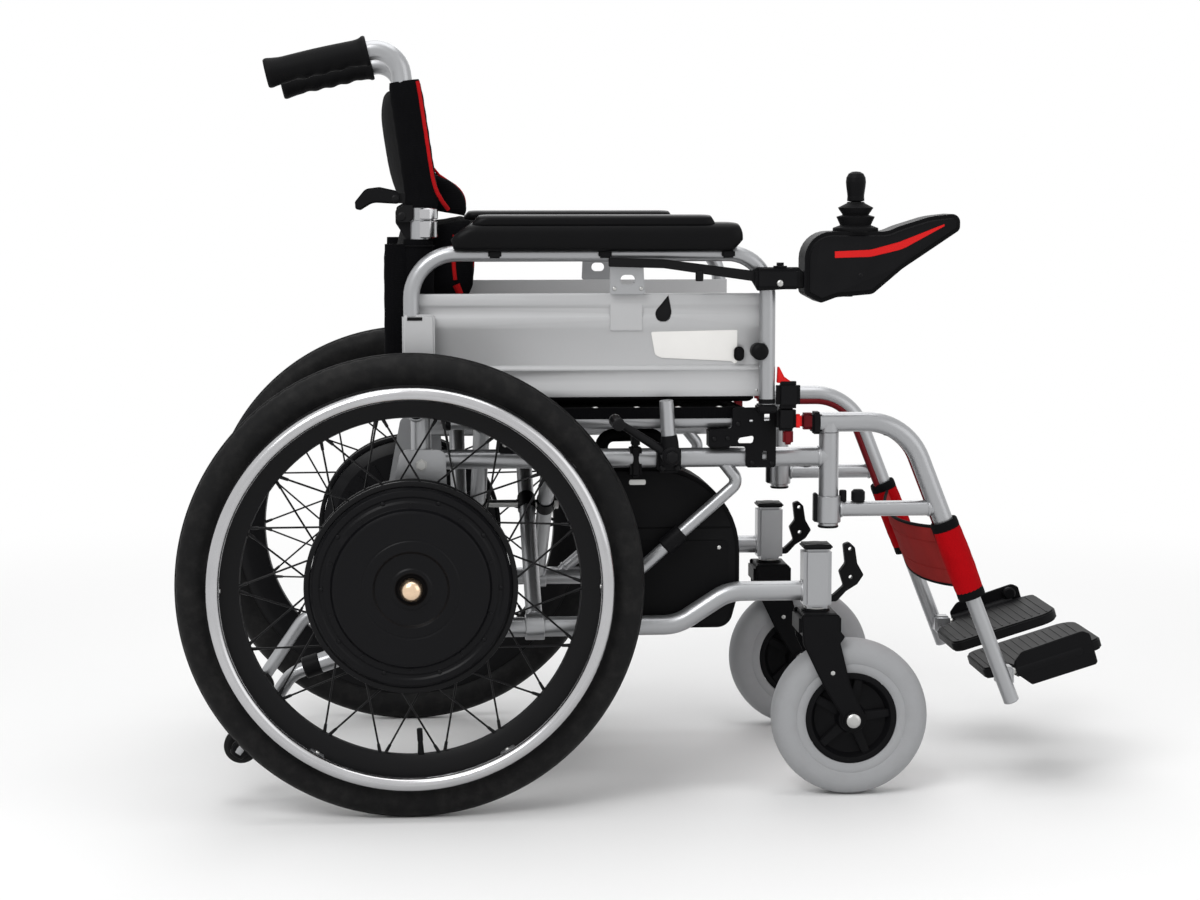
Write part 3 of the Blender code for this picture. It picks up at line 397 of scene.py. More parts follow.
def turned(profile, centre, axis=OUTWARD, segments=72, shape=None):
    """A turned piece from (radius, distance along the axis) points.

    The profile is a closed loop, unless it begins and ends at radius 0. shape(k, i, radius) may change
    the radius of profile point i at segment k.
    """
    bm = bmesh.new()
    centre = Vector(centre)
    axis = Vector(axis).normalized()
    guide = guide_for(axis)
    first = (guide - axis * guide.dot(axis)).normalized()
    second = axis.cross(first)
    rings = []
    for i, (radius, along) in enumerate(profile):
        middle = centre + axis * along
        if radius == 0:
            rings.append([bm.verts.new(middle)])
            continue
        ring = []
        for k, turn in enumerate(turns(segments)):
            size = shape(k, i, radius) if shape else radius
            ring.append(bm.verts.new(middle + size * (math.cos(turn) * first + math.sin(turn) * second)))
        rings.append(ring)
    pairs = list(zip(rings, rings[1:]))
    if profile[0][0] != 0:
        pairs.append((rings[-1], rings[0]))
    for ring, following in pairs:
        if len(ring) > 1 and len(following) > 1:
            bridge(bm, ring, following)
            continue
        pole, rim = (ring[0], following) if len(ring) == 1 else (following[0], ring)
        for k in range(segments):
            bm.faces.new((pole, rim[k], rim[(k + 1) % segments]))
    return faced_out(bm)


def eased(profile, radius, steps=3):
    """A turned profile with its corners rounded."""
    points = [Vector((r, a, 0)) for r, a in profile]
    open_ended = profile[0][0] == 0
    return [(max(p.x, 0), p.y) for p in rounded(points, radius, steps, closed=not open_ended)]


def shifted(profile, along):
    return [(r, a + along) for r, a in profile]


def mirrored(half_profile):
    """A profile with two like halves."""
    return half_profile + [(r, -a) for r, a in reversed(half_profile)]


def rod(start, end, radius, sides=24, chamfer=0.0):
    start = Vector(start)
    run = Vector(end) - start
    length = run.length
    cut = min(chamfer, radius * 0.5, length * 0.4)
    profile = [(0, 0), (radius, 0), (radius, length), (0, length)]
    if cut:
        inner = radius - cut
        profile = [(0, 0), (inner, 0), (radius, cut), (radius, length - cut), (inner, length), (0, length)]
    return turned(profile, start, run, sides)


def upright(x, low, high, radius, sides=24, chamfer=0.0, half=FRAME_HALF):
    """A rod standing in the side frame's plane, or at another distance from the chair's middle."""
    return rod(at(x, half, low), at(x, half, high), radius, sides, chamfer)


def crosswise(x, z, start, end, radius, sides=24, chamfer=0.0):
    """A rod across the chair, from one distance from its middle to another."""
    return rod(at(x, start, z), at(x, end, z), radius, sides, chamfer)


def prism(points, low, high, plane="xz"):
    put = {
        "xz": lambda p, q, h: (p, h, q),
        "xy": lambda p, q, h: (p, q, h),
        "yz": lambda p, q, h: (h, p, q),
    }[plane]
    bm = bmesh.new()
    return lofted(bm, [[bm.verts.new(put(point[0], point[1], h)) for point in points] for h in (low, high)])


def softened(bm, width, segments=2, sharper_than=40):
    limit = math.radians(sharper_than)
    edges = [e for e in bm.edges if e.calc_face_angle(0) > limit]
    bmesh.ops.bevel(bm, geom=edges, offset=width, segments=segments, affect="EDGES", clamp_overlap=True)
    return bm


def plate(points, inner, outer, edge=0.0006, segments=2):
    """An upright plate from its outline in x and z. inner and outer are its faces' halves."""
    bm = prism(points, -outer, -inner)
    return softened(bm, edge, segments) if edge else bm


def frame_plate(points, thin, edge=0.0006):
    """A plate centred on the side frame, of half thickness thin."""
    return plate(points, FRAME_HALF - thin, FRAME_HALF + thin, edge)


def box_outline(x, z):
    return [(x[0], z[0]), (x[1], z[0]), (x[1], z[1]), (x[0], z[1])]


def block(x, half, z, edge=0.001, segments=2):
    return plate(box_outline(x, z), *half, edge, segments)


def frame_block(x, thin, z, edge=0.001, segments=2):
    """A block centred on the side frame, of half thickness thin."""
    return block(x, (FRAME_HALF - thin, FRAME_HALF + thin), z, edge, segments)


def swung(bm, angle, centre, axis="Y"):
    bmesh.ops.rotate(bm, cent=centre, matrix=Matrix.Rotation(angle, 3, axis), verts=bm.verts)
    return bm


def hexagon(centre, axis, radius, height):
    """A hexagon bolt head with a washer face and a chamfered top."""
    washer = radius * 1.15
    profile = [(0, 0), (washer, 0), (washer, height * 0.15), (radius, height * 0.15), (radius, height * 0.85),
               (radius * 0.86, height), (0, height)]
    return turned(profile, centre, axis, 6)


def dome(centre, axis, radius, height):
    profile = [(0, 0), (radius, 0), (radius, height * 0.3), (radius * 0.86, height * 0.7),
               (radius * 0.5, height * 0.95), (0, height)]
    return turned(profile, centre, axis, 24)


def domes(look, places, radius, height, axis=OUTWARD):
    return [(look, dome(place, axis, radius, height)) for place in places]


def ring_around(centre, axis, inner, outer, length):
    """A short sleeve on a tube, centred on a point."""
    half = length / 2
    edge = (outer - inner) * 0.35
    return turned(mirrored([(inner, -half), (outer - edge, -half), (outer, -half + edge)]), centre, axis, 32)


def weld(centre, axis, radius):
    profile = [(radius - 0.001, -0.0022), (radius + 0.0009, -0.0016), (radius + 0.0014, 0),
               (radius + 0.0009, 0.0016), (radius - 0.001, 0.0022)]
    return turned(profile, centre, axis, 28)


def share_between(value, low, high):
    """0 up to low, 1 from high on and even between them."""
    return min(max((value - low) / (high - low), 0), 1)


def ramp(value, low, high):
    """0 up to low, 1 from high on and eased at both."""
    share = share_between(value, low, high)
    return share * share * (3 - 2 * share)


def bulge(value, low, high):
    """A quarter ellipse: 0 at low, 1 from high on."""
    return math.sqrt(1 - (1 - share_between(value, low, high)) ** 2)


def along_line(start, end, steps):
    """Evenly spaced numbers from start to end."""
    return [start + (end - start) * i / steps for i in range(steps + 1)]


# Meshes and pieces


def mesh_from(bm, name):
    """The solid as a mesh. The solid itself is freed."""
    mesh = bpy.data.meshes.new(name)
    bm.to_mesh(mesh)
    bm.free()
    return mesh


def new_object(name, data):
    obj = bpy.data.objects.new(name, data)
    bpy.context.scene.collection.objects.link(obj)
    return obj


def gather(whole, bm):
    """Adds a solid to a whole."""
    mesh = mesh_from(bm, "part")
    whole.from_mesh(mesh)
    bpy.data.meshes.remove(mesh)


def merged(*parts):
    whole = bmesh.new()
    for bm in parts:
        gather(whole, bm)
    return whole


def evaluated(obj):
    return bpy.data.meshes.new_from_object(obj.evaluated_get(bpy.context.evaluated_depsgraph_get()))


def carved(base, *tools):
    """base with the tools cut out of it."""
    objects = [new_object("carving", mesh_from(bm, "carving")) for bm in (base, merged(*tools))]
    step = objects[0].modifiers.new("cut", "BOOLEAN")
    step.operation = "DIFFERENCE"
    step.solver = "EXACT"
    step.object = objects[1]
    mesh = evaluated(objects[0])
    result = bmesh.new()
    result.from_mesh(mesh)
    for obj in objects:
        bpy.data.objects.remove(obj, do_unlink=True)
    bpy.data.meshes.remove(mesh)
    return result


def build(name, parts, side="right", sharp=38):
    """An object from (look, solid) pairs, mirrored for the left hand side and put in its place."""
    whole = bmesh.new()
    names = []
    for look, bm in parts:
        if look not in names:
            names.append(look)
        for face in bm.faces:
            face.material_index = names.index(look)
        gather(whole, bm)
    if side == "left":
        bmesh.ops.scale(whole, vec=(1, -1, 1), verts=whole.verts)
        bmesh.ops.reverse_faces(whole, faces=whole.faces)
    bmesh.ops.translate(whole, vec=SHIFT, verts=whole.verts)
    mesh = mesh_from(whole, name)
    for look in names:
        mesh.materials.append(LOOKS[look])
    mesh.shade_smooth()
    mesh.set_sharp_from_angle(angle=math.radians(sharp))
    return new_object(name, mesh)


def piece(name, parts, body, replaces=(), side="right", sharp=38):
    obj = build(name, parts, side, sharp)
    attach(obj, body)
    if replaces:
        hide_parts(*replaces)
    return obj


def side_piece(side, name, parts, body, node=None, sharp=38):
    """A piece that each side has. Its name, body and node are given without the side."""
    replaces = [f"{node}_{side}"] if node else ()
    return piece(f"{name}_{side}", parts, f"{side}_{body}", replaces, side, sharp)


# Stage: camera, floor and lights


def camera():
    data = bpy.data.cameras.new("camera")
    data.sensor_width = 36
    data.lens = 74.4
    data.clip_end = 60
    obj = new_object("camera", data)
    obj.location = Vector((-0.005, -3.285, 0.775)) + SHIFT
    gaze = Vector((0.0787, 1, -0.1077))
    obj.rotation_euler = gaze.to_track_quat("-Z", "Y").to_euler()
    bpy.context.scene.camera = obj


def area_light(name, place, target, size, power):
    data = bpy.data.lights.new(name, "AREA")
    data.shape = "SQUARE"
    data.size = size
    data.energy = power
    obj = new_object(name, data)
    obj.location = place
    obj.rotation_euler = (Vector(target) - Vector(place)).to_track_quat("-Z", "Y").to_euler()


def seen_rays(tree):
    """1 for a ray from the camera, from a glossy surface or through a clear one, 0 for one that lights."""
    rays = add_node(tree, "ShaderNodeLightPath").outputs
    shown = rays["Is Camera Ray"]
    for kind in ("Is Glossy Ray", "Is Transmission Ray"):
        shown = add_node(tree, "ShaderNodeMath", {0: shown, 1: rays[kind]}, operation="MAXIMUM").outputs[0]
    return shown


def mix_shaders(tree, share, first, second, output):
    mix = add_node(tree, "ShaderNodeMixShader", {0: share, 1: first.outputs[0], 2: second.outputs[0]})
    tree.links.new(mix.outputs[0], tree.nodes[output].inputs["Surface"])


def floor():
    """A pale floor. Far from the object it is seen as the backdrop's white, which lights nothing."""
    bm = bmesh.new()
    bmesh.ops.create_grid(bm, x_segments=1, y_segments=1, size=14)
    obj = new_object("floor", mesh_from(bm, "floor"))
    look = Look("studio_floor", (0.86, 0.86, 0.86), 0.75)
    distance = look.add("ShaderNodeVectorMath", {0: look.coords}, operation="LENGTH").outputs["Value"]
    fade = look.ramp(distance, 0.9, 2.6, interpolation_type="SMOOTHSTEP")
    share = look.math("MULTIPLY", fade, seen_rays(look.tree))
    white = look.add("ShaderNodeEmission", {"Strength": 1.0})
    mix_shaders(look.tree, share, look.shader, white, "Material Output")
    obj.data.materials.append(look.material)


def backdrop():
    world = bpy.data.worlds.new("studio")
    bpy.context.scene.world = world
    world.use_nodes = True
    light = world.node_tree.nodes["Background"]
    light.inputs["Color"].default_value = WHITE
    light.inputs["Strength"].default_value = 0.45
    seen = add_node(world.node_tree, "ShaderNodeBackground", {"Color": WHITE})
    mix_shaders(world.node_tree, seen_rays(world.node_tree), light, seen, "World Output")


def stage():
    floor()
    backdrop()
    bpy.context.scene.view_settings.view_transform = "Standard"
    middle = (0, 0, 0.4)
    area_light("key", (-1.6, -2.6, 3.0), middle, 1.8, 70)
    area_light("fill", (2.6, -2.2, 1.6), middle, 2.4, 16)
    area_light("back", (0.2, 2.8, 2.6), middle, 2.6, 30)
    area_light("top", (0.0, 0.0, 3.4), (0, 0, 0), 2.6, 46)


# Frames


def lock_lever():
    """A small hooked lever ahead of the caster stem."""
    shape = outline(
        [(0.526, 0.2480), (0.5380, 0.2480), (0.5500, 0.2610), (0.5645, 0.2700), (0.5725, 0.2819),
         (0.5642, 0.2965), (0.5610, 0.3170), (0.5540, 0.3237), (0.5462, 0.3210), (0.5490, 0.2965),
         (0.5413, 0.2863), (0.5470, 0.2680), (0.5340, 0.2560), (0.526, 0.2560)],
        [0, 0, 0.004, 0.004, 0.003, 0.004, 0.004, 0.004, 0.003, 0, 0.003, 0.003, 0.003, 0], 4)
    holes = [crosswise(x, z, FRAME_HALF - 0.01, FRAME_HALF + 0.01, 0.0026) for x, z in
             ((0.5550, 0.3150), (0.5560, 0.2790))]
    return softened(carved(frame_plate(shape, 0.006, 0), *holes), 0.0010, 2)


def side_frame(side):
    lower = rounded(
        [on_frame(-0.128, 0.1733), on_frame(0.010, LOWER_Z), on_frame(0.335, LOWER_Z),
         on_frame(0.400, LOWER_FRONT_Z), on_frame(STEM_X, LOWER_FRONT_Z)],
        [0, 0.08, 0.06, 0.06, 0], 10)
    tail = rounded([on_frame(-0.2202, 0.0624), on_frame(-0.150, 0.165), on_frame(-0.100, 0.1825)],
                   [0, 0.04, 0], 10)
    strut = rounded([on_frame(0.390, 0.431), on_frame(0.413, 0.402), on_frame(0.2095, 0.222)], [0, 0.012, 0])
    strut_run = strut[-2] - strut[-1]
    tail_run = Vector((-0.564, 0, -0.826))
    strut_r, tail_r, stem_half = 0.008, 0.009, 0.018
    hinge_ear = outline(
        [(0.010, 0.700), (0.010, 0.7292), (-0.0005, 0.7292), (-0.0005, 0.7425),
         (-0.0155, 0.7425), (-0.0155, 0.727), (0.002, 0.700)],
        [0, 0, 0, 0.005, 0.005, 0.005, 0])
    roller_x, roller_z = ROLLER.x, ROLLER.z
    arm_x, arm_z = ARM_PIN
    box = (STEM_X - stem_half, STEM_X + stem_half)
    box_cap = (STEM_X - 0.0186, STEM_X + 0.0186)
    parts = [
        ("black", lock_lever()),
        ("silver", sweep(lower, TUBE_R)),
        ("silver", sweep(tail, tail_r)),
        ("black", ring_around(on_frame(-0.124, 0.1748), Vector((0.948, 0, 0.319)), tail_r, 0.0136, 0.022)),
        ("silver", sweep([on_frame(CANE_X, UPPER_Z), on_frame(POST_X, UPPER_Z)], TUBE_R - 0.0002)),
        ("silver", sweep([on_frame(POST_X, 0.345), on_frame(POST_X, 0.4632)], TUBE_R)),
        ("silver", sweep([on_frame(CANE_X, LOWER_Z + 0.002), on_frame(CANE_X, CANE_TOP)], TUBE_R)),
        ("silver", sweep(strut, strut_r, 20)),
        ("black", ring_around(on_frame(0.330, 0.3286), -strut_run, strut_r, 0.0115, 0.030)),
        ("silver", weld(on_frame(CANE_X + TUBE_R, UPPER_Z), X_AXIS, TUBE_R)),
        ("silver", weld(on_frame(CANE_X, LOWER_Z + TUBE_R + 0.002), Z_AXIS, TUBE_R)),
        ("silver", weld(on_frame(POST_X - TUBE_R, UPPER_Z), X_AXIS, TUBE_R)),
        ("silver", weld(on_frame(STEM_X - stem_half, LOWER_FRONT_Z), X_AXIS, TUBE_R)),
        ("silver", weld(strut[-1] + strut_run.normalized() * 0.014, strut_run, strut_r)),
        ("black", upright(POST_X, 0.3425, 0.3460, 0.0131, 32, 0.001)),
        ("black", frame_plate(hinge_ear, 0.005, 0.0008)),
        ("bright", upright(COLLAR_X, 0.7085, 0.7296, 0.0148, 40, 0.0012)),
        ("silver", frame_block(box, stem_half, (0.2405, 0.318), 0.005, 4)),
        ("black", frame_block(box_cap, 0.0186, (0.3165, 0.3225), 0.002, 3)),
        ("black", dome(on_frame(STEM_X, 0.3223), Z_AXIS, 0.0150, 0.0016)),
        ("steel", upright(STEM_X, 0.2395, 0.2420, 0.0150, 32, 0.0006)),
        ("black", frame_block((0.110, 0.140), 0.011, (0.440, 0.4697), 0.002, 2)),
        ("steel", crosswise(arm_x, arm_z, FRAME_HALF, FRAME_HALF + 0.0470, 0.0058)),
        ("black", dome(at(arm_x, FRAME_HALF + 0.0453, arm_z), OUTWARD, 0.0095, 0.0036)),
        ("steel", crosswise(roller_x, roller_z, FRAME_HALF + 0.006, FRAME_HALF - 0.0325, 0.0045)),
        ("black", ring_around(on_frame(roller_x, roller_z), OUTWARD, 0.0045, 0.0115, 0.016)),
        ("steel", dome(at(roller_x, FRAME_HALF - 0.0305, roller_z), -OUTWARD, 0.009, 0.0034)),
        ("black", rod(tail[0] - tail_run * 0.004, tail[0] + tail_run * 0.001, 0.0098, 24, 0.001)),
        *domes("steel", [at(x, FRAME_HALF + 0.011, 0.452) for x in (0.118, 0.132)], 0.0035, 0.0018),
    ]
    if side == "right":
        # The battery stands on this bracket
        parts.append(("black_metal", block((0.255, 0.312), (0.112, FRAME_HALF), (0.2085, 0.2118), 0.0008)))
    side_piece(side, "frame_tubes", parts, "frame", "side_frame")


def axle_plate(side):
    face = PLATE_FACE
    shape = outline([(-0.030, 0.245), (0.036, 0.245), (0.048, 0.300), (0.044, 0.447), (-0.012, 0.447),
                     (-0.034, 0.330)], 0.010)
    slab = plate(shape, face, face + 0.005, 0)
    holes = [crosswise(0, z, face - 0.003, face + 0.02, 0.0085) for z in (0.325, 0.360)]
    parts = [
        ("silver", softened(carved(slab, *holes), 0.0006, 2)),
        ("steel", crosswise(0, TYRE_R, face + 0.001, 0.3160, 0.008)),
        ("steel", hexagon(at(0, face + 0.0017, TYRE_R), OUTWARD, 0.0155, 0.0135)),
        ("steel", hexagon(at(CANE_X, face + 0.0045, 0.428), OUTWARD, 0.0068, 0.0048)),
        ("steel", hexagon(at(CANE_X, face + 0.0045, 0.262), OUTWARD, 0.0068, 0.0048)),
    ]
    side_piece(side, "axle_bracket", parts, "frame", "axle_plate")


def axle_cap(side):
    nut = [(0, 0.0095), (0.0085, 0.0095), (0.0085, 0), (0.0138, 0), (0.0142, 0.0006), (0.0142, 0.0080),
           (0.0134, 0.0105), (0.0118, 0.0140), (0.0092, 0.0164), (0.0062, 0.0178), (0.003, 0.0184),
           (0, 0.0185)]
    parts = [("brass", turned(nut, at(0, 0.3070, TYRE_R), OUTWARD, 48))]
    side_piece(side, "axle_cap", parts, "frame", "axle_nut")


def seat_bracket(side):
    face = PLATE_FACE
    shape = outline(
        [(0.402, 0.4965), (0.457, 0.4975), (0.457, 0.4215), (0.419, 0.4215), (0.419, 0.448),
         (0.372, 0.448), (0.372, 0.4685), (0.402, 0.471)],
        [0.004, 0.004, 0.004, 0.004, 0.004, 0.003, 0.003, 0.004])
    windows = [
        ([(0.4235, 0.479), (0.428, 0.479), (0.428, 0.4815), (0.4235, 0.4815)], 0),
        ([(0.407, 0.452), (0.428, 0.452), (0.430, 0.462), (0.411, 0.459)], 0.003),
        ([(0.440, 0.430), (0.446, 0.430), (0.446, 0.442), (0.440, 0.442)], 0.002),
        ([(0.4420, 0.4800), (0.4492, 0.4805), (0.4492, 0.4888), (0.4420, 0.4888)], 0.001),
    ]
    holes = [plate(outline(window, corner), face - 0.01, face + 0.04, 0) for window, corner in windows]
    red_tab = outline([(0.4550, 0.5290), (0.4750, 0.5290), (0.4640, 0.5370), (0.4560, 0.5525)], 0.0012)
    bolts = [at(x, face + 0.006, z) for x, z in
             ((0.409, 0.4765), (0.4515, 0.4265), (0.427, 0.4275), (0.379, 0.458), (0.396, 0.4585))]
    parts = [
        ("black", softened(carved(plate(shape, face, face + 0.006, 0), *holes), 0.0007, 2)),
        ("black", block((0.4305, 0.4545), (face + 0.001, 0.2515), (0.4925, 0.5022), 0.002, 3)),
        ("black", block((0.4545, 0.4840), (0.230, 0.248), (0.4975, 0.5310), 0.005, 4)),
        ("red", plate(red_tab, 0.2345, 0.2425, 0.0012)),
        ("black", block((0.4555, 0.4795), (0.224, 0.243), (0.4690, 0.4990), 0.004, 3)),
        ("red", block((0.4780, 0.4868), (0.228, 0.240), (0.4725, 0.4895), 0.002, 2)),
        ("dark_red", block((0.4640, 0.4765), (0.226, 0.240), (0.4515, 0.4710), 0.003, 3)),
        ("black", block((0.3725, 0.4015), (FRAME_HALF - 0.011, face + 0.002), (0.446, 0.4697), 0.002, 3)),
        *domes("black_metal", bolts, 0.0032, 0.0018),
    ]
    side_piece(side, "seat_clamp", parts, "frame", "seat_bracket")


def brake_clamp(side):
    x, z = BRAKE_PIN
    clamp = carved(block((0.307, 0.337), (0.1915, 0.2330), (0.4165, 0.4495), 0.004, 3),
                   rod(on_frame(0.29, UPPER_Z), on_frame(0.35, UPPER_Z), TUBE_R))
    parts = [
        ("black", clamp),
        ("steel", crosswise(x, z, 0.230, 0.2650, 0.0042)),
        ("black_metal", hexagon(at(x, 0.2628, z), OUTWARD, 0.0072, 0.0040)),
        *domes("black_metal", [at(0.313, 0.2330, 0.423), at(0.331, 0.2330, 0.423)], 0.0036, 0.002),
    ]
    side_piece(side, "brake_clamp", parts, "frame", "brake_base")


def brake_lever(side):
    """A handle with a black collar, and a knurled shoe on an arm behind it."""
    x, z = BRAKE_PIN
    pivot, shoe, *handle, neck, rim = (
        at(x, BRAKE_HALF, z) for x, z in
        (BRAKE_PIN, (0.2529, 0.4841), (0.3200, 0.458), (0.3183, 0.474), (0.316, 0.5085),
         (0.3202, 0.4575), (0.3194, 0.4655)))
    shoe_profile = [(0, 0), (0.0080, 0), (0.0080, 0.0495), (0.0066, 0.0505), (0, 0.0505)]

    def knurled(k, i, radius):
        return radius * (0.93 if k % 3 == 0 else 1.0)

    parts = [
        ("silver", sweep([pivot, *handle], [0.0092, 0.0092, 0.0092, 0.0088])),
        ("silver", dome(handle[-1] - Z_AXIS * 0.0006, handle[-1] - handle[-2], 0.0088, 0.002)),
        ("black", sweep([pivot, neck, rim], [0.0112, 0.0110, 0.0100])),
        ("black_metal", sweep([pivot, shoe], [0.0062, 0.0048], 20)),
        ("black", ring_around(at(x, 0.2484, z), OUTWARD, 0.0047, 0.0118, 0.0286)),
        ("steel", crosswise(shoe.x, shoe.z, 0.2425, 0.252, 0.0078)),
        ("black_metal", turned(shoe_profile, at(shoe.x, 0.2515, shoe.z), OUTWARD, 36, knurled)),
    ]
    side_piece(side, "brake_handle", parts, "brake", "brake_lever")


# Wheels


def on_wheel(radius, angle, out):
    return AXLE + Vector((radius * math.sin(angle), -out, -radius * math.cos(angle)))


def wheel_block(half, out, up, edge, turn):
    """A small block on the wheel, turned about its axle. out and up are its reach from the wheel's middle."""
    solid = block((-half, half), [WHEEL_HALF + h for h in out], [AXLE.z + r for r in up], edge)
    return swung(solid, turn, AXLE)


def rear_tyre(side):
    profile = mirrored([
        (0.2482, -0.0115), (0.2535, -0.0152), (0.2600, -0.0174), (0.2660, -0.0180), (0.2715, -0.0174),
        (0.2762, -0.0158), (0.2800, -0.0132), (0.2828, -0.0100), (0.2846, -0.0070), (0.2838, -0.0058),
        (0.2855, -0.0046), (0.2860, -0.0014), (0.2850, -0.0006)])
    near_lugs = (5, 6, 7, 8)
    lugs = {*near_lugs, *(len(profile) - 1 - i for i in near_lugs)}

    def tread(k, i, radius):
        return radius - 0.0010 if i in lugs and k % 3 == 0 else radius

    parts = [("tread", turned(profile, AXLE, OUTWARD, 288, tread))]
    side_piece(side, "tyre", parts, "wheel", "rear_tyre", 50)


def spokes():
    """Crossed spokes in two layers, each hooked in the motor's flange and screwed into its nipple."""
    lean = math.radians(14)
    wires = []
    for i, angle in enumerate(turns(SPOKES, 0.5)):
        way, seat, foot = (1, 0.004, 0.003) if i % 2 else (-1, -0.020, -0.003)
        near = on_wheel(0.1265, angle - way * 0.02, seat)
        hook = on_wheel(0.1310, angle, seat)
        far = on_wheel(0.2085, angle + way * lean, foot)
        nipple = far + (hook - far).normalized() * 0.011
        wires.append(sweep([near, hook, far], 0.00125, 8))
        wires.append(sweep([nipple, far], [0.0019, 0.0023], 8))
    return merged(*wires)


def rear_rim(side):
    section = [(0.2478, -0.0112), (0.2478, -0.0098), (0.2440, -0.0096), (0.2440, 0.0096), (0.2478, 0.0098),
               (0.2478, 0.0112), (0.2420, 0.0128), (0.2340, 0.0122), (0.2160, 0.0088), (0.2085, 0.0052),
               (0.2070, 0.0), (0.2085, -0.0052), (0.2160, -0.0088), (0.2340, -0.0122), (0.2420, -0.0128)]
    flange = eased(
        [(0.1239, -0.024), (0.1305, -0.024), (0.1305, -0.0185), (0.1272, -0.0165), (0.1272, 0.0005),
         (0.1305, 0.0025), (0.1305, 0.008), (0.1239, 0.008)], 0.0006, 2)
    parts = [
        ("black_metal", turned(section, AXLE, OUTWARD, 144)),
        ("black_metal", turned(flange, AXLE, OUTWARD, 96)),
        ("black_metal", spokes()),
    ]
    tab_screw = at(0, WHEEL_HALF + 0.0155, AXLE.z + 0.2312)
    for turn in turns(6, 0.5):
        parts.append(("silver", wheel_block(0.010, (0.008, 0.0222), (0.231, 0.2425), 0.0012, turn)))
        parts.append(("steel", swung(dome(tab_screw, -Z_AXIS, 0.0034, 0.002), turn, AXLE)))
    valve = on_wheel(0.209, 0.05, 0)
    inward = on_wheel(0.176, 0.05, 0) - valve
    parts.append(("rubber", sweep([valve, valve + inward * 0.55], [0.0042, 0.0030], 16)))
    parts.append(("black", rod(valve + inward * 0.50, valve + inward, 0.0036, 16, 0.0008)))
    side_piece(side, "rim_and_spokes", parts, "wheel", "rear_rim")


def hub_motor(side):
    profile = eased(
        [(0.0088, -0.046), (0.030, -0.046), (0.036, -0.040), (0.108, -0.0352), (0.1235, -0.030),
         (0.1235, -0.0150), (0.1224, -0.0140), (0.1224, -0.0110), (0.1235, -0.0100), (0.1235, 0.0095),
         (0.1195, 0.0145), (0.1130, 0.0150), (0.1105, 0.0132), (0.1075, 0.0132), (0.1050, 0.0152),
         (0.0985, 0.0155), (0.0955, 0.0210), (0.0925, 0.0218), (0.0620, 0.0232), (0.0600, 0.0224),
         (0.0585, 0.0232), (0.0470, 0.0245), (0.0440, 0.0215), (0.0260, 0.0208), (0.0240, 0.0222),
         (0.0200, 0.0222), (0.0165, 0.0195), (0.0088, 0.0180)],
        0.0008, 3)
    parts = [("gloss_black", turned(profile, AXLE, OUTWARD, 120))]
    cover_screw = at(0, WHEEL_HALF + 0.0126, AXLE.z + 0.1090)
    for turn in turns(10, 0.5):
        rib = wheel_block(0.0016, (0.0150, 0.0166), (0.1000, 0.1045), 0.0005, turn + math.pi / 10)
        parts.append(("gloss_black", swung(dome(cover_screw, OUTWARD, 0.0030, 0.0022), turn, AXLE)))
        parts.append(("gloss_black", rib))
    for turn in turns(24):
        parts.append(("gloss_black", wheel_block(0.0012, (-0.0395, -0.034), (0.044, 0.102), 0, turn)))
    side_piece(side, "motor", parts, "wheel", "hub_motor")


def handrim(side):
    radius, tube, out = 0.2385, 0.0085, 0.031
    ring = [(radius + tube * math.cos(turn), out + tube * math.sin(turn)) for turn in turns(20)]
    parts = [("bright", turned(ring, AXLE, OUTWARD, 160))]
    side_piece(side, "push_rim", parts, "wheel", "handrim")


def caster_tyre(side):
    profile = mirrored([
        (0.0585, 0.0), (0.0585, 0.0185), (0.0610, 0.0205), (0.0680, 0.0222), (0.0700, 0.0216),
        (0.0722, 0.0232), (0.0790, 0.0244), (0.0850, 0.0245), (0.0900, 0.0228), (0.0945, 0.0192),
        (0.0975, 0.0146), (0.0992, 0.0095), (0.1000, 0.0040)])[:-1]
    parts = [("grey_tyre", turned(profile, on_frame(CASTER_X, CASTER_Z), OUTWARD, 112))]
    side_piece(side, "caster_tread", parts, "caster_wheel", "caster_tyre")


def caster_hub(side):
    middle = on_frame(CASTER_X, CASTER_Z)
    hub = eased(mirrored([(0.0066, -0.026), (0.017, -0.026), (0.020, -0.0100), (0.046, -0.0085),
                          (0.051, -0.0190), (0.0580, -0.0192)]), 0.0009, 2)
    parts = [("black", turned(hub, middle, OUTWARD, 80))]
    rib_shape = outline([(-0.0062, 0.0165), (0.0062, 0.0165), (0.0048, 0.0500), (-0.0048, 0.0500)], 0.001, 2)
    for turn in turns(5):
        rib = prism([(CASTER_X + p[0], CASTER_Z + p[1]) for p in rib_shape],
                    -FRAME_HALF - 0.0150, -FRAME_HALF + 0.0150)
        parts.append(("black", swung(softened(rib, 0.0012, 2), turn + 0.2, middle)))
    side_piece(side, "caster_wheel", parts, "caster_wheel", "caster_hub")


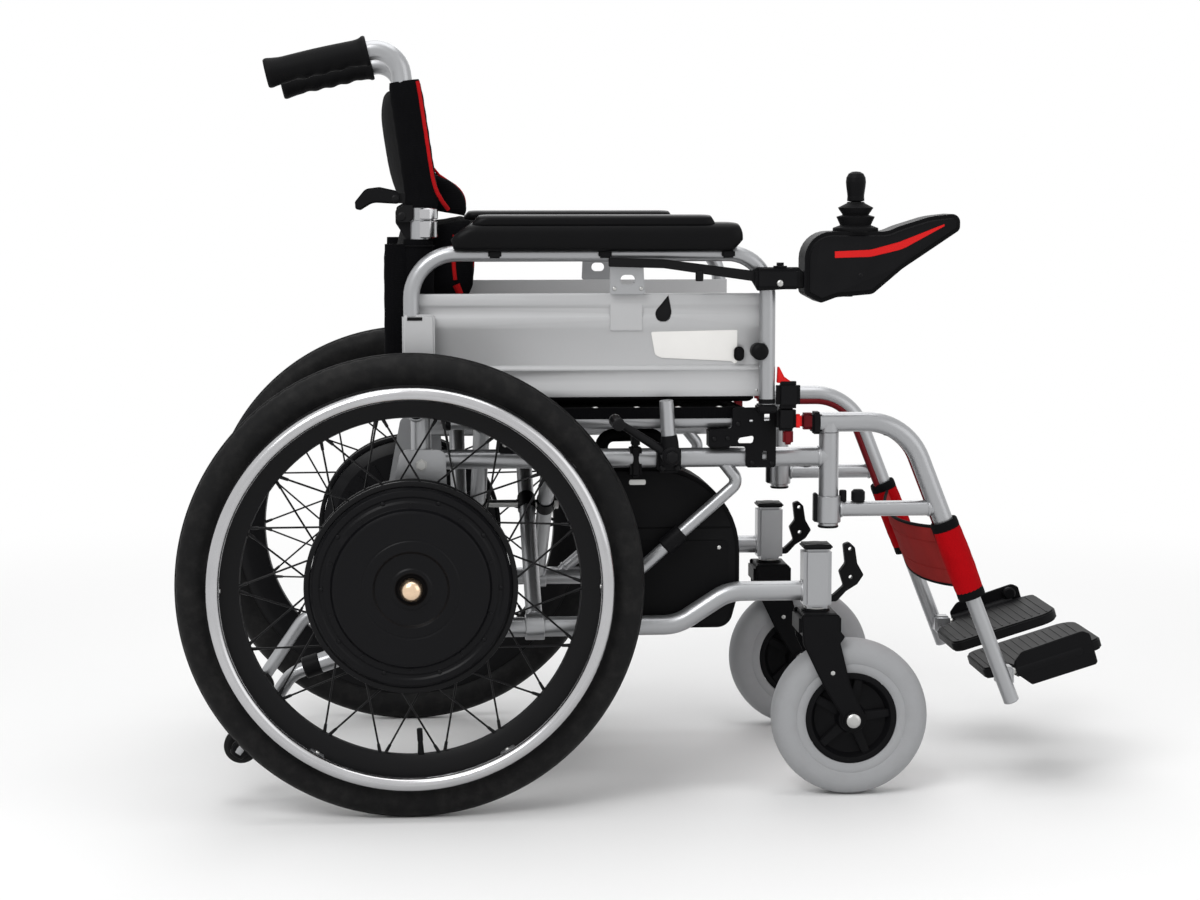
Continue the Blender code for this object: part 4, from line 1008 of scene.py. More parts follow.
def caster_fork(side):
    x, z = CASTER_X, CASTER_Z
    leg = outline(
        [(0.4890, 0.236), (0.5375, 0.236), (0.5385, 0.2150), (0.5450, 0.2070), (0.5390, 0.1990),
         (0.5525, 0.1451), (x + 0.0125, z + 0.0100), (x + 0.0120, z - 0.0125), (x - 0.0120, z - 0.0125),
         (x - 0.0145, z + 0.0060), (0.5176, 0.1451), (0.4915, 0.1990)],
        [0.003, 0.004, 0.003, 0.003, 0.004, 0.02, 0.010, 0.011, 0.011, 0.010, 0.02, 0.012], 8)
    parts = []
    for way in (1, -1):
        faces = sorted((FRAME_HALF + way * 0.0276, FRAME_HALF + way * 0.0335))
        bolt = at(0.5294, FRAME_HALF + way * 0.0330, 0.1614)
        boss = at(x, FRAME_HALF + way * 0.0325, z)
        parts += [
            ("black", plate(leg, *faces, 0.0018)),
            ("steel", hexagon(bolt, OUTWARD * way, 0.0030, 0.0014)),
            ("black", rod(boss, boss + OUTWARD * way * 0.0040, 0.0112, 32, 0.001)),
            ("steel", dome(boss + OUTWARD * way * 0.0036, OUTWARD * way, 0.0090, 0.0032)),
        ]
    parts += [
        ("black", frame_block((0.4865, 0.5405), 0.033, (0.2065, 0.2365), 0.006, 4)),
        ("black", upright(STEM_X, 0.2300, 0.2392, 0.0180, 40, 0.0012)),
        ("steel", upright(STEM_X, 0.2300, 0.2930, 0.008)),
        ("steel", crosswise(x, z, FRAME_HALF - 0.034, FRAME_HALF + 0.034, 0.006)),
    ]
    side_piece(side, "caster_yoke", parts, "caster_fork", "caster_fork")


def anti_tip_roller(side):
    profile = eased(mirrored([(0.0052, -0.009), (0.0165, -0.009), (0.0220, -0.0050)]), 0.0014, 3)
    parts = [("tread", turned(profile, ROLLER, OUTWARD, 48))]
    side_piece(side, "tip_roller", parts, "anti_tip", "anti_tip_roller")


# Leg rests


def down_tube(z):
    """The middle of the hanger's slanted tube at a height."""
    lean = (HANGER_END[0] - HANGER_BEND_X) / (HANGER_Z - HANGER_END[1])
    return on_frame(HANGER_BEND_X + (HANGER_Z - z) * lean, z)


def hanger_trim():
    """The dark red trim inside the hanger's bend."""
    depth, inward = 0.0092, 0.0094
    half = FRAME_HALF - inward
    lean = down_tube(0).x - down_tube(1).x
    steep = math.hypot(lean, 1)
    path = [at(0.5480, half, HANGER_Z - depth),
            at(HANGER_BEND_X - depth * (steep - lean), half, HANGER_Z - depth),
            down_tube(0.345) + Vector((-depth / steep, inward, -depth * lean / steep))]
    return sweep(rounded(path, [0, 0.062, 0], 14), 0.0042, 14)


def hanger(side):
    tube = rounded([on_frame(0.5145, HANGER_Z), on_frame(HANGER_BEND_X, HANGER_Z), down_tube(0.306)],
                   [0, 0.075, 0], 12)
    slim = [down_tube(0.312), down_tube(HANGER_END[1] + 0.002)]
    run = (slim[1] - slim[0]).normalized()
    hinge = on_frame(POST_X, STRUT_Z)
    tilt = Vector((math.cos(FOOT_TILT), 0, math.sin(FOOT_TILT)))
    knob_z = HANGER_Z - 0.0125
    link_r = 0.0098
    parts = [
        ("dark_red", hanger_trim()),
        ("silver", sweep(tube, TUBE_R)),
        ("silver", sweep(slim, 0.010)),
        ("silver", rod(slim[1] - run * 0.004, slim[1] + run * 0.0015, 0.0101, 32, 0.0030)),
        ("silver", upright(POST_X, 0.4636, 0.4770, 0.0130, 40, 0.0008)),
        ("silver", ring_around(hinge, Z_AXIS, 0.0133, 0.0158, 0.034)),
        ("silver", sweep([hinge + X_AXIS * 0.014, down_tube(STRUT_Z)], link_r)),
        ("silver", weld(down_tube(STRUT_Z) - X_AXIS * 0.0125, X_AXIS, link_r)),
        ("silver", weld(hinge + X_AXIS * 0.0160, X_AXIS, link_r)),
        ("black", frame_block((POST_X - 0.0192, POST_X - 0.0140), 0.0065, (0.3500, 0.3865), 0.0012)),
        ("black", upright(0.5455, STRUT_Z + 0.008, STRUT_Z + 0.0240, 0.0048, 24, 0.0012)),
        ("black", upright(0.5650, STRUT_Z + 0.008, STRUT_Z + 0.0245, 0.0088, 28, 0.0030)),
        ("dark_red", frame_block((0.4900, 0.5080), 0.009, (0.4675, 0.4885), 0.004, 3)),
        ("black", frame_block((0.5040, 0.5165), 0.0118, (0.4620, 0.4898), 0.003, 3)),
        ("black", upright(0.6020, knob_z, knob_z - 0.005, 0.0060, 24, 0.001)),
        ("silver", block((0.750, 0.772), (0.176, 0.200), (0.134, 0.158), 0.003, 3)),
        ("steel", rod(FOOT_PIN - tilt * 0.012, FOOT_PIN + tilt * 0.080, 0.004)),
        ("steel", dome(at(0.761, 0.200, 0.146), OUTWARD, 0.0050, 0.0026)),
    ]
    side_piece(side, "leg_rest", parts, "hanger", "hanger")


def leg_sleeve(side):
    """The padded sleeve, with a black loop at each end and a seam behind."""
    bore, radius = 0.0129, 0.0172
    start, end = down_tube(0.350), down_tube(0.250)
    length = (end - start).length
    axis = (end - start).normalized()
    loop = [(bore, 0.003), (0.0166, 0.0), (0.0176, 0.002), (0.0178, 0.008), (0.0175, 0.012), (bore, 0.012)]
    swell = [(bore, 0.009), (radius, 0.009)]
    for share in along_line(0, 1, 18):
        swell.append((radius + 0.0012 * math.sin(math.pi * share) ** 0.6, 0.010 + (length - 0.020) * share))
    swell += [(radius, length - 0.009), (bore, length - 0.009)]
    seam = [start + axis * a + X_AXIS * -0.0180 for a in (0.010, 0.04, 0.07, length - 0.010)]

    def creased(k, i, r):
        return r + 0.00035 * math.sin(k * 2.1 + i * 0.9) * math.sin(i * 0.55)

    parts = [
        ("sleeve_cloth", turned(swell, start, axis, 56, creased)),
        ("binding", turned(loop, start, axis, 56)),
        ("binding", turned(shifted(loop, length - 0.013), start, axis, 56)),
        ("binding", sweep(seam, 0.0014, 10)),
    ]
    sleeve = side_piece(side, "leg_padding", parts, "hanger", "leg_sleeve")


def footplate(side):
    x, y, z = FOOT_PIN
    deck = outline(
        [(x - 0.032, y + 0.040), (x - 0.032, y + 0.149), (x + 0.122, y + 0.149), (x + 0.122, y + 0.012),
         (x + 0.094, y + 0.002), (x, y + 0.002), (x, y + 0.022)],
        [0.010, 0.016, 0.028, 0.012, 0.003, 0, 0.006], 8)
    wall = outline(
        [(x + 0.001, z - 0.0040), (x + 0.016, z - 0.0230), (x + 0.103, z - 0.0230), (x + 0.106, z - 0.0200),
         (x + 0.106, z + 0.0180), (x + 0.098, z + 0.0245), (x + 0.014, z + 0.0225), (x + 0.001, z + 0.0120)],
        [0.004, 0.004, 0.002, 0.002, 0.006, 0.010, 0.010, 0.006], 6)
    barrel = [(0.0047, 0.001), (0.0080, 0.001), (0.0088, 0.0018), (0.0088, 0.0907), (0.0080, 0.0915),
              (0.0047, 0.0915)]
    knob_x, knob_z = x + 0.0900, z + 0.0135
    solids = [
        softened(prism(deck, z - 0.0100, z + 0.0048, "xy"), 0.0024, 3),
        turned(barrel, (x, y, z), X_AXIS, 32),
        softened(prism(wall, y - 0.0074, y - 0.0026), 0.0012, 3),
        rod((knob_x, y - 0.0062, knob_z), (knob_x, y + 0.0060, knob_z), 0.0090, 32, 0.002),
    ]
    # Grip ribs across the deck, and three stiffeners below
    for i in range(13):
        rib_x, rib_z = x - 0.022 + 0.0108 * i, z + 0.0050
        near = y + 0.026 if rib_x < x + 0.004 else y + 0.016
        solids.append(sweep([(rib_x, near, rib_z), (rib_x, y + 0.138, rib_z)], 0.0011, 8, 0.6))
    for i in range(3):
        line = y + 0.045 + 0.038 * i
        solids.append(sweep([(x - 0.024, line, z - 0.0096), (x + 0.112, line, z - 0.0096)], 0.0022, 8, 0.7))
    parts = [("black", swung(bm, -FOOT_TILT, FOOT_PIN)) for bm in solids]
    side_piece(side, "foot_rest", parts, "footplate", "footplate")


# Armrests and joystick


def arm_frame(side):
    path = rounded(
        [at(ARM_REAR_X, ARM_HALF, 0.500), at(ARM_REAR_X, ARM_HALF, ARM_Z), at(ARM_FRONT_X, ARM_HALF, ARM_Z),
         at(ARM_FRONT_X, ARM_HALF, 0.503)],
        [0, 0.055, 0.050, 0], 12)
    link = outline([(0.246, 0.6395), (0.290, 0.6395), (0.288, 0.684), (0.248, 0.684)], 0.003)
    hole = outline(box_outline((0.260, 0.278), (0.6515, 0.6635)), 0.0058)
    link_plate = carved(plate(link, 0.2360, 0.2405, 0), plate(hole, 0.230, 0.250, 0))
    eye = at(ARM_PIN[0], 0.2402, ARM_PIN[1])
    parts = [
        ("silver", sweep(path, ARM_TUBE_R)),
        ("silver", ring_around(eye, OUTWARD, 0.0063, 0.0130, 0.0186)),
        ("silver", softened(link_plate, 0.0007, 2)),
        *domes("steel", [at(x, 0.2405, 0.6465) for x in (0.2525, 0.2855)], 0.0026, 0.0014),
        ("black", upright(ARM_FRONT_X, 0.5030, 0.5100, 0.0104, 32, 0.001, ARM_HALF)),
    ]
    side_piece(side, "arm_tube", parts, "armrest", "arm_frame")


def pad_tier(rear, front, low, high, half, hollow=False):
    """A long rounded slab. rear and front give its x at a height from -1 to 1, hollow fits it to the tube."""
    length_steps, ring_steps = 44, 40
    end_share = 0.05
    bm = bmesh.new()
    rings = []
    for i in range(length_steps + 1):
        share = 0.5 - 0.5 * math.cos(math.pi * i / length_steps)
        ends = min(share / end_share, (1 - share) / end_share, 1)
        full = math.sqrt(max(1 - (1 - ends) ** 2, 0))
        ring = []
        for turn in turns(ring_steps, 0.5):
            cos, sin = math.cos(turn), math.sin(turn)
            up = math.copysign(abs(sin) ** 0.66, sin)
            across = math.copysign(abs(cos) ** 0.62, cos) * half * (0.66 + 0.34 * full)
            z = (low + high) / 2 + (high - low) / 2 * up * (0.86 + 0.14 * full)
            if hollow and abs(across) < 0.0125 and up < 0:
                z = max(z, ARM_Z + math.sqrt(max(0.0107 ** 2 - across ** 2, 0)))
            start, end = rear(up), front(up)
            ring.append(bm.verts.new((start + (end - start) * share, -(PAD_HALF + across), z)))
        rings.append(ring)
    return lofted(bm, rings)


def arm_pad(side):
    """A long glossy foam pad with a raised and shorter crown, on three clips."""

    def rear(up):
        return 0.0515 + 0.0045 * max(-0.2 - up, 0) + 0.0180 * max(up + 0.2, 0) ** 1.4

    def front(up):
        return 0.4090 - 0.0110 * max(-0.2 - up, 0) / 0.8 - 0.0050 * max(up, 0) ** 2

    def crown_rear(up):
        return 0.0800 + 0.006 * up

    def crown_front(up):
        return 0.3735 - 0.004 * up

    parts = [
        ("foam", pad_tier(rear, front, 0.6915, 0.7285, 0.0238, hollow=True)),
        ("foam", pad_tier(crown_rear, crown_front, 0.7215, 0.7376, 0.0208)),
    ]
    clip = (PAD_HALF - 0.012, PAD_HALF + 0.012)
    for x in (0.105, 0.240, 0.392):
        parts.append(("black", block((x - 0.008, x + 0.008), clip, (0.6845, 0.6945), 0.002)))
    pad = side_piece(side, "arm_cushion", parts, "armrest", "arm_pad", 60)


def side_panel(side):
    """A ribbed panel with a drop-shaped recess, a bare white plate, a latch and a knob."""
    rear, front = ARM_REAR_X - 0.008, ARM_FRONT_X + 0.009
    recess = 0.2262
    section = [(PANEL_IN, PANEL_LOW), (0.2284, PANEL_LOW), (PANEL_OUT, 0.5145), (0.2294, 0.5215),
               (0.2268, 0.5290), (0.2258, 0.5370), (0.2268, 0.5420), (0.2296, 0.5452), (PANEL_OUT, 0.5470),
               (0.2280, 0.5500), (0.2263, 0.5515), (0.2268, 0.5940), (0.2284, 0.5965), (0.2286, 0.6110),
               (0.2272, 0.6135), (0.2271, 0.6225), (0.2290, 0.6250), (PANEL_OUT, 0.6275), (PANEL_OUT, 0.6380),
               (0.2285, PANEL_HIGH), (PANEL_IN, PANEL_HIGH)]
    sheet = prism([(-half, z) for half, z in section], rear, front, "yz")
    drop = outline([(0.3205, 0.6385), (0.3250, 0.6170), (0.3215, 0.6045), (0.3065, 0.6045), (0.3035, 0.6170)],
                   [0.0006, 0.010, 0.0085, 0.0085, 0.010])
    panel = softened(carved(sheet, plate(drop, 0.210, 0.240, 0)), 0.0008, 2, 50)
    drop_x, drop_z = 0.3140, 0.6160
    inner_drop = [(drop_x + (p.x - drop_x) * 0.95, drop_z + (p.y - drop_z) * 0.95) for p in drop]
    white_plate = outline(
        [(0.299, 0.5925), (0.407, 0.5945), (0.407, 0.5480), (0.400, 0.5555), (0.312, 0.5600),
         (0.304, 0.5640)],
        [0.002, 0.002, 0.003, 0.006, 0.010, 0.006])
    latch_x, latch_z = 0.4087, 0.5650
    latch = box_outline((latch_x - 0.0063, latch_x + 0.0063), (latch_z - 0.009, latch_z + 0.009))
    knob = at(0.4321, 0.2500, 0.5688)
    screws = [at(x, PANEL_OUT - 0.0014, 0.5190) for x in (0.150, 0.290, front - 0.020)]
    parts = [
        ("panel", panel),
        ("plate", plate(white_plate, recess, 0.2282)),
        ("gloss_black", plate(inner_drop, PANEL_IN + 0.001, recess, 0.0008)),
        ("panel", block((0.2475, 0.2887), (0.2268, 0.2299), (0.594, 0.630))),
        ("panel", block((rear - 0.0035, rear + 0.0365), (0.2270, 0.2512), (0.5125, 0.6160), 0.0030, 3)),
        ("black", block((rear + 0.002, rear + 0.022), (0.2500, 0.2518), (0.6080, 0.6135), 0.0008)),
        ("black", plate(outline(latch, 0.0058), recess, 0.2345, 0.0022)),
        ("black", rod(knob - OUTWARD * 0.0215, knob + OUTWARD * 0.0006, 0.0098, 36, 0.0006)),
        ("black", dome(knob, OUTWARD, 0.0108, 0.0060)),
        *domes("steel", screws, 0.0026, 0.0014),
    ]
    side_piece(side, "side_guard", parts, "armrest", "side_panel")


def joystick_bar():
    bar = outline(
        [(0.244, 0.6850), (0.312, 0.6830), (0.4208, 0.6690), (0.4280, 0.6730), (0.4780, 0.6730),
         (0.4850, 0.6660), (0.4850, 0.6470), (0.4280, 0.6440), (0.4208, 0.6560), (0.312, 0.6720),
         (0.244, 0.6740)], 0.002)
    parts = [
        ("black_metal", plate(bar, 0.2504, 0.2575, 0.0010)),
        ("black", block((0.4240, 0.4790), (0.2510, 0.2680), (0.6460, 0.6720), 0.004, 4)),
        ("black", block((0.4470, 0.4632), (0.2520, 0.2660), (0.6690, 0.6788), 0.004, 4)),
        ("steel", dome(at(0.4539, 0.2680, 0.6537), OUTWARD, 0.0042, 0.0022)),
        ("black_metal", upright(0.3560, 0.6560, 0.6700, 0.0050, 24, 0.001, 0.2545)),
    ]
    piece("controller_bar", parts, "right_armrest", ["joystick_bar"])


def joystick_housing():
    """The shell with a red stripe on each side, a dial round the stick and three buttons on its slope."""
    shape = outline(
        [(0.4841, 0.7170), (0.4841, 0.6400), (0.5046, 0.6292), (0.5240, 0.6362), (0.5690, 0.6400),
         (0.6056, 0.6710), (0.6768, 0.7185), (0.6770, 0.7392), (0.6393, 0.7350), (0.6008, 0.7230),
         (0.5860, 0.7168)],
        [0.034, 0.008, 0.006, 0.010, 0.012, 0.06, 0.008, 0.010, 0.10, 0.06, 0.03], 8)
    stripe = outline(
        [(0.5204, 0.6927), (0.5647, 0.6945), (0.600, 0.7040), (0.6560, 0.7258),
         (0.6560, 0.7232), (0.604, 0.6950), (0.5647, 0.6858), (0.5204, 0.6846)],
        [0.001, 0.05, 0.06, 0.0006, 0.0006, 0.06, 0.05, 0.001], 8)
    dial = [(0, 0), (0.0266, 0), (0.0266, 0.0014), (0.0256, 0.0022), (0, 0.0022)]
    button = [(0, -0.002), (0.0048, -0.002), (0.0048, 0.0012), (0.0038, 0.0018), (0, 0.0019)]
    slope = Vector((0.936, 0, 0.352)).normalized()
    normal = Vector((-slope.z, 0, slope.x))
    seats = [Vector((0.6130 + 0.0150 * i, STICK.y, 0.7196 + 0.0056 * i)) for i in range(3)]
    parts = [
        ("black", softened(prism(shape, -0.2730, -0.2130), 0.010, 5, 60)),
        ("red", plate(stripe, 0.2722, 0.2737, 0.0004)),
        ("red", plate(stripe, 0.2123, 0.2138, 0.0004)),
        ("gloss_black", turned(dial, STICK + Z_AXIS * 0.0008, Z_AXIS, 48)),
        *[("gloss_black", turned(button, seat, normal, 28)) for seat in seats],
        ("black", upright(0.5420, 0.6450, 0.6360, 0.0070, 28, 0.001, -STICK.y)),
        ("gloss_black", dome(at(0.5527, 0.2728, 0.6630), OUTWARD, 0.0030, 0.0012)),
    ]
    piece("controller_shell", parts, "right_armrest", ["joystick_housing"])


def joystick_boot():
    """A pleated rubber boot from the shell to the stick."""
    profile = eased(
        [(0.0058, 0.0018), (0.0282, 0.0018), (0.0280, 0.0058), (0.0190, 0.0092), (0.0238, 0.0196),
         (0.0160, 0.0218), (0.0220, 0.0306), (0.0112, 0.0362), (0.0104, 0.0378), (0.0058, 0.0378)], 0.0005, 2)
    boot = build("stick_boot", [("rubber", turned(profile, STICK, Z_AXIS, 64))])
    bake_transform(boot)
    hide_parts("joystick_boot")


def joystick_stick():
    profile = eased(
        [(0, 0.0045), (0.0040, 0.0045), (0.0040, 0.0375), (0.0108, 0.0388), (0.0103, 0.0450),
         (0.0118, 0.0560), (0.0124, 0.0620), (0.0118, 0.0676), (0.0092, 0.0724), (0.0050, 0.0747),
         (0, 0.0752)], 0.0010, 3)
    parts = [("black", turned(profile, STICK, Z_AXIS, 48))]
    piece("stick_knob", parts, "joystick_stick", ["joystick_stick"])


# Upper canes


def cane_line():
    """The middle of an upper cane, from its foot to its grip."""
    return rounded(
        [on_frame(CANE_X, CANE_TOP + 0.0006), on_frame(CANE_X, CANE_BEND_Z),
         at(-0.0125, GRIP_HALF, 0.945), at(-0.165, GRIP_HALF, 0.9103)],
        [0, 0.06, 0.032, 0], 12)


def cane_place(z):
    """The upper cane's middle at a height under the grip's bend."""
    above = max(z - CANE_BEND_Z, 0)
    return at(CANE_X - 0.1448 * above, FRAME_HALF - 0.0273 * above, z)


def upper_cane(side):
    ear = outline(
        [(0.006, 0.7312), (0.006, 0.7490), (-0.005, 0.7490), (-0.0155, 0.7425), (-0.0155, 0.7280),
         (-0.0005, 0.7280)],
        [0, 0, 0.003, 0.004, 0.006, 0.004])
    latch_ear = outline(
        [(0.006, 0.751), (0.006, 0.763), (-0.0215, 0.763), (-0.0215, 0.751)], [0, 0, 0.005, 0.005])
    pin = on_frame(*BACK_PIN)
    reach = OUTWARD * 0.0120
    gap = 0.0056
    parts = [
        ("silver", sweep(cane_line(), TUBE_R)),
        ("bright", upright(COLLAR_X, 0.7312, 0.7450, 0.0148, 40, 0.0012)),
        ("black_metal", plate(ear, FRAME_HALF - TUBE_R, FRAME_HALF - gap)),
        ("black_metal", plate(ear, FRAME_HALF + gap, FRAME_HALF + TUBE_R)),
        ("black_metal", frame_plate(latch_ear, 0.0032)),
        ("steel", rod(pin - reach, pin + reach, 0.0038)),
        ("black_metal", dome(pin + reach, OUTWARD, 0.0056, 0.0022)),
        ("black_metal", dome(pin - reach, -OUTWARD, 0.0056, 0.0022)),
    ]
    side_piece(side, "back_cane", parts, "upper_back", "upper_cane")


def hand_grip(side):
    """A rubber grip with a collar, four hollows for the fingers and a swollen tip."""
    start, tip = at(-0.0475, GRIP_HALF, 0.9370), at(-0.172, GRIP_HALF, 0.9087)
    length = (tip - start).length
    segments = 64
    low, high = 0.016, length - 0.024
    profile = [(0, length - 0.005), (0.0131, length - 0.005), (0.0131, 0), (0.0178, 0), (0.0190, 0.0016),
               (0.0190, 0.0042), (0.0174, 0.0070), (0.0165, 0.0110)]
    for share in along_line(0, 1, 34):
        profile.append((0.0162 + 0.0008 * math.sin(math.pi * share), low + (high - low) * share))
    profile += [(0.0164, length - 0.0190), (0.0174, length - 0.0110), (0.0184, length - 0.0050),
                (0.0182, length - 0.0020), (0.0168, length), (0, length)]

    def finger_waves(k, i, radius):
        """Four hollows along the underside, none on the grip's ends."""
        if not 4 < i < len(profile) - 4:
            return radius
        under = max(-math.cos(2 * math.pi * k / segments), 0) ** 1.5
        share = share_between(profile[i][1], low, high)
        return radius - 0.0018 * under * (0.5 - 0.5 * math.cos(8 * math.pi * share))

    parts = [("rubber", turned(profile, start, tip - start, segments, finger_waves))]
    side_piece(side, "hand_grip", parts, "upper_back", "push_grip", 50)


def back_latch(side):
    """A hooked lever, forked over the cane's ear."""
    shape = outline(
        [(-0.0085, 0.7640), (-0.0387, 0.7705), (-0.0520, 0.7690), (-0.0650, 0.7530), (-0.0645, 0.7440),
         (-0.0580, 0.7425), (-0.0435, 0.7520), (-0.0085, 0.7500)],
        [0.006, 0.01, 0.012, 0.004, 0.003, 0.004, 0.02, 0.006], 6)
    fork = frame_block((-0.0260, 0.0), 0.0038, (0.735, 0.785), 0)
    pivot = on_frame(-0.016, 0.757)
    reach = OUTWARD * 0.0084
    parts = [
        ("black", softened(carved(frame_plate(shape, 0.009, 0), fork), 0.0022, 3)),
        ("steel", rod(pivot - reach, pivot + reach, 0.0031, 20)),
        ("black_metal", dome(pivot + reach, OUTWARD, 0.0044, 0.0016)),
    ]
    side_piece(side, "back_lever", parts, "back_latch", "back_latch")


# Sewn and padded cloth


CLOTH_STEPS = 20
FOLD_NOISE = 0.0003
CLOTH = {
    "quality": 6,
    "mass": 0.2,
    "tension_stiffness": 14,
    "compression_stiffness": 14,
    "shear_stiffness": 6,
    "bending_stiffness": 0.4,
    "use_pressure": True,
    "vertex_group_mass": "held",
}


def grid_solid(place, across, along):
    """A closed padded sheet. place(u, v, face) gives its points, face being 1 behind and -1 in front."""
    bm = bmesh.new()
    columns, rows = ([-math.cos(math.pi * i / count) for i in range(count + 1)] for count in (across, along))
    grids = [[[bm.verts.new(place(u, v, face)) for v in rows] for u in columns] for face in (1, -1)]
    for grid in grids:
        for low, high in zip(grid, grid[1:]):
            for j in range(along):
                bm.faces.new((low[j], low[j + 1], high[j + 1], high[j]))
    border = [(i, 0) for i in range(across)]
    border += [(across, j) for j in range(along)]
    border += [(i, along) for i in range(across, 0, -1)]
    border += [(0, j) for j in range(along, 0, -1)]
    bridge(bm, *[[grid[i][j] for i, j in border] for grid in grids])
    return faced_out(bm)


def remade(obj, kind, **settings):
    """Gives an object a modifier and applies it."""
    step = obj.modifiers.new("step", kind)
    for name, value in settings.items():
        setattr(step, name, value)
    obj.data = evaluated(obj)
    obj.modifiers.clear()


def blow_up(obj, held, cap, pressure):
    """A short cloth simulation under pressure, applied. No point moves farther than cap."""
    rest = [v.co.copy() for v in obj.data.vertices]
    pins = obj.vertex_groups.new(name="held")
    chance = random.Random(5)
    for vertex in obj.data.vertices:
        pins.add([vertex.index], min(held(vertex.co), 1.0), "REPLACE")
        vertex.co += vertex.normal * chance.uniform(-FOLD_NOISE, FOLD_NOISE)
    cloth = obj.modifiers.new("cloth", "CLOTH")
    for name, value in CLOTH.items():
        setattr(cloth.settings, name, value)
    cloth.settings.uniform_pressure_force = pressure
    cloth.settings.effector_weights.gravity = 0
    cloth.point_cache.frame_start = 1
    cloth.point_cache.frame_end = CLOTH_STEPS
    for step in range(1, CLOTH_STEPS + 1):
        bpy.context.scene.frame_set(step)
    swollen = evaluated(obj)
    bpy.context.scene.frame_set(1)
    obj.modifiers.clear()
    for vertex, start in zip(swollen.vertices, rest):
        move = vertex.co - start
        if move.length > cap:
            vertex.co = start + move * (cap / move.length)
    obj.data = swollen


def puffed(name, bm, held, cap, voxel, pressure):
    """The solid as sewn and filled cloth: remeshed evenly, blown up a little and smoothed.

    held(point) is how firmly a point stays put, from 0 to 1, and cap the farthest that one may move.
    """
    obj = new_object(name, mesh_from(bm, name))
    remade(obj, "REMESH", mode="VOXEL", voxel_size=voxel)
    blow_up(obj, held, cap, pressure)
    remade(obj, "SUBSURF", levels=1)
    result = bmesh.new()
    result.from_mesh(obj.data)
    bpy.data.objects.remove(obj, do_unlink=True)
    return result


def against(tree, point, way, sink=0.0):
    """Where a line from point in the direction way meets the surface, sunk in by sink."""
    way = Vector(way).normalized()
    hit = tree.ray_cast(Vector(point), way)[0]
    if hit is None:
        hit = tree.find_nearest(Vector(point))[0]
    return hit + way * sink


def rim_places(u_reach, v_reach, steps):
    """Places round the edge of a sheet, as (u, v), with rounded corners."""
    places = []
    for turn in turns(steps * 4):
        cos, sin = math.cos(turn), math.sin(turn)
        u, v = math.copysign(abs(cos) ** 0.30, cos), math.copysign(abs(sin) ** 0.30, sin)
        places.append((u_reach * u, v_reach * v))
    return places


def smooth_line(points, closed=False, passes=2):
    for _ in range(passes):
        count = len(points)
        smoother = []
        for i, point in enumerate(points):
            if not closed and i in (0, count - 1):
                smoother.append(point)
            else:
                smoother.append((points[i - 1] + 2 * point + points[(i + 1) % count]) / 4)
        points = smoother
    return points


# Back


def back_sag(u):
    return 0.014 * (1 - u * u)


def roll(u, reach):
    """How far the lumbar roll stands out, less in the middle than at its ends."""
    return LUMBAR_REACH * reach * (0.55 + 0.45 * ramp(abs(u), 0.35, 0.85))


def cover_edge(u, v):
    return (1 - abs(u) ** 4) * (1 - abs(v) ** 4)


def lower_back_point(u, v, face):
    z = 0.6190 + 0.1000 * v
    out = face * (0.0085 + 0.0085 * cover_edge(u, v))
    front = roll(u, ramp(z, 0.585, 0.650)) if face < 0 else 0
    lift = 0.22 * front * ramp(v, 0.4, 1.0)
    return Vector((CANE_X - out - back_sag(u) + front, (BACK_HALF - 0.001) * u, z + lift))


def upper_back_point(u, v, face):
    z = 0.8205 + 0.0725 * v
    out = face * (0.0100 + 0.0105 * cover_edge(u, v))
    front = roll(u, 0.78 * bulge(z, 0.787, 0.762)) if face < 0 else 0
    droop = 0.30 * front * ramp(v, -0.3, -1.0)
    lean = -0.165 * (z - 0.745)
    return Vector((CANE_X + 0.006 + lean - out - back_sag(u) + front, (BACK_HALF - 0.0055) * u, z - droop))


def lower_held(p):
    return max(ramp(abs(p.y), BACK_HALF - 0.014, BACK_HALF - 0.004), 0.9 if p.x < CANE_X - 0.006 else 0)


def upper_held(p):
    return max(ramp(abs(p.y), BACK_HALF - 0.018, BACK_HALF - 0.009), 0.3 if p.z > 0.885 else 0)


def front_seams(tree, low, high):
    """Two upright bound seams that divide the front."""
    seams = []
    for way in (-1, 1):
        heights = [low + (high - low) * i / 24 for i in range(25)]
        seam = [against(tree, (0.20, way * 0.112, z), -X_AXIS, 0.0004) for z in heights]
        seams.append(("binding", sweep(smooth_line(seam), 0.0016, 8)))
    return seams


def side_piping(tree):
    """Red cord down both ends of the lumbar roll, with a sewn tab at its lower end."""
    cord = [(0.0575, 0.7120), (0.0560, 0.7000), (0.0556, 0.6850), (0.0556, 0.6700), (0.0580, 0.6560)]
    tab = [(0.0590, 0.6500), (0.0640, 0.6380)]
    parts = []
    for way in (-1, 1):
        cord_line, tab_line = (
            [against(tree, (x, way * 0.26, z), Y_AXIS * -way, sink) for x, z in places]
            for places, sink in ((cord, 0.0006), (tab, 0.0012)))
        parts.append(("piping", sweep(smooth_line(cord_line), 0.0026, 10)))
        parts.append(("piping", sweep(tab_line, [0.0050, 0.0044], 16)))
    return parts


def back_panel(name, place, held, low, high, body, node, corded=False):
    """A padded panel between the canes, piped round its front. corded adds cord at the roll's ends."""
    pad = puffed(name, grid_solid(place, 40, 28), held, 0.009, 0.005, 3.0)
    tree = BVHTree.FromBMesh(pad)
    ahead = X_AXIS * 0.05
    edge = [against(tree, place(u, v, -1) + ahead, -X_AXIS, 0.0006) for u, v in rim_places(0.955, 0.93, 26)]
    parts = [
        ("back_cloth", pad),
        *front_seams(tree, low, high),
        ("piping", sweep(smooth_line(edge, closed=True), 0.0018, 10, closed=True)),
        *(side_piping(tree) if corded else []),
    ]
    obj = piece(name, parts, body, [node], sharp=60)
    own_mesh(obj)


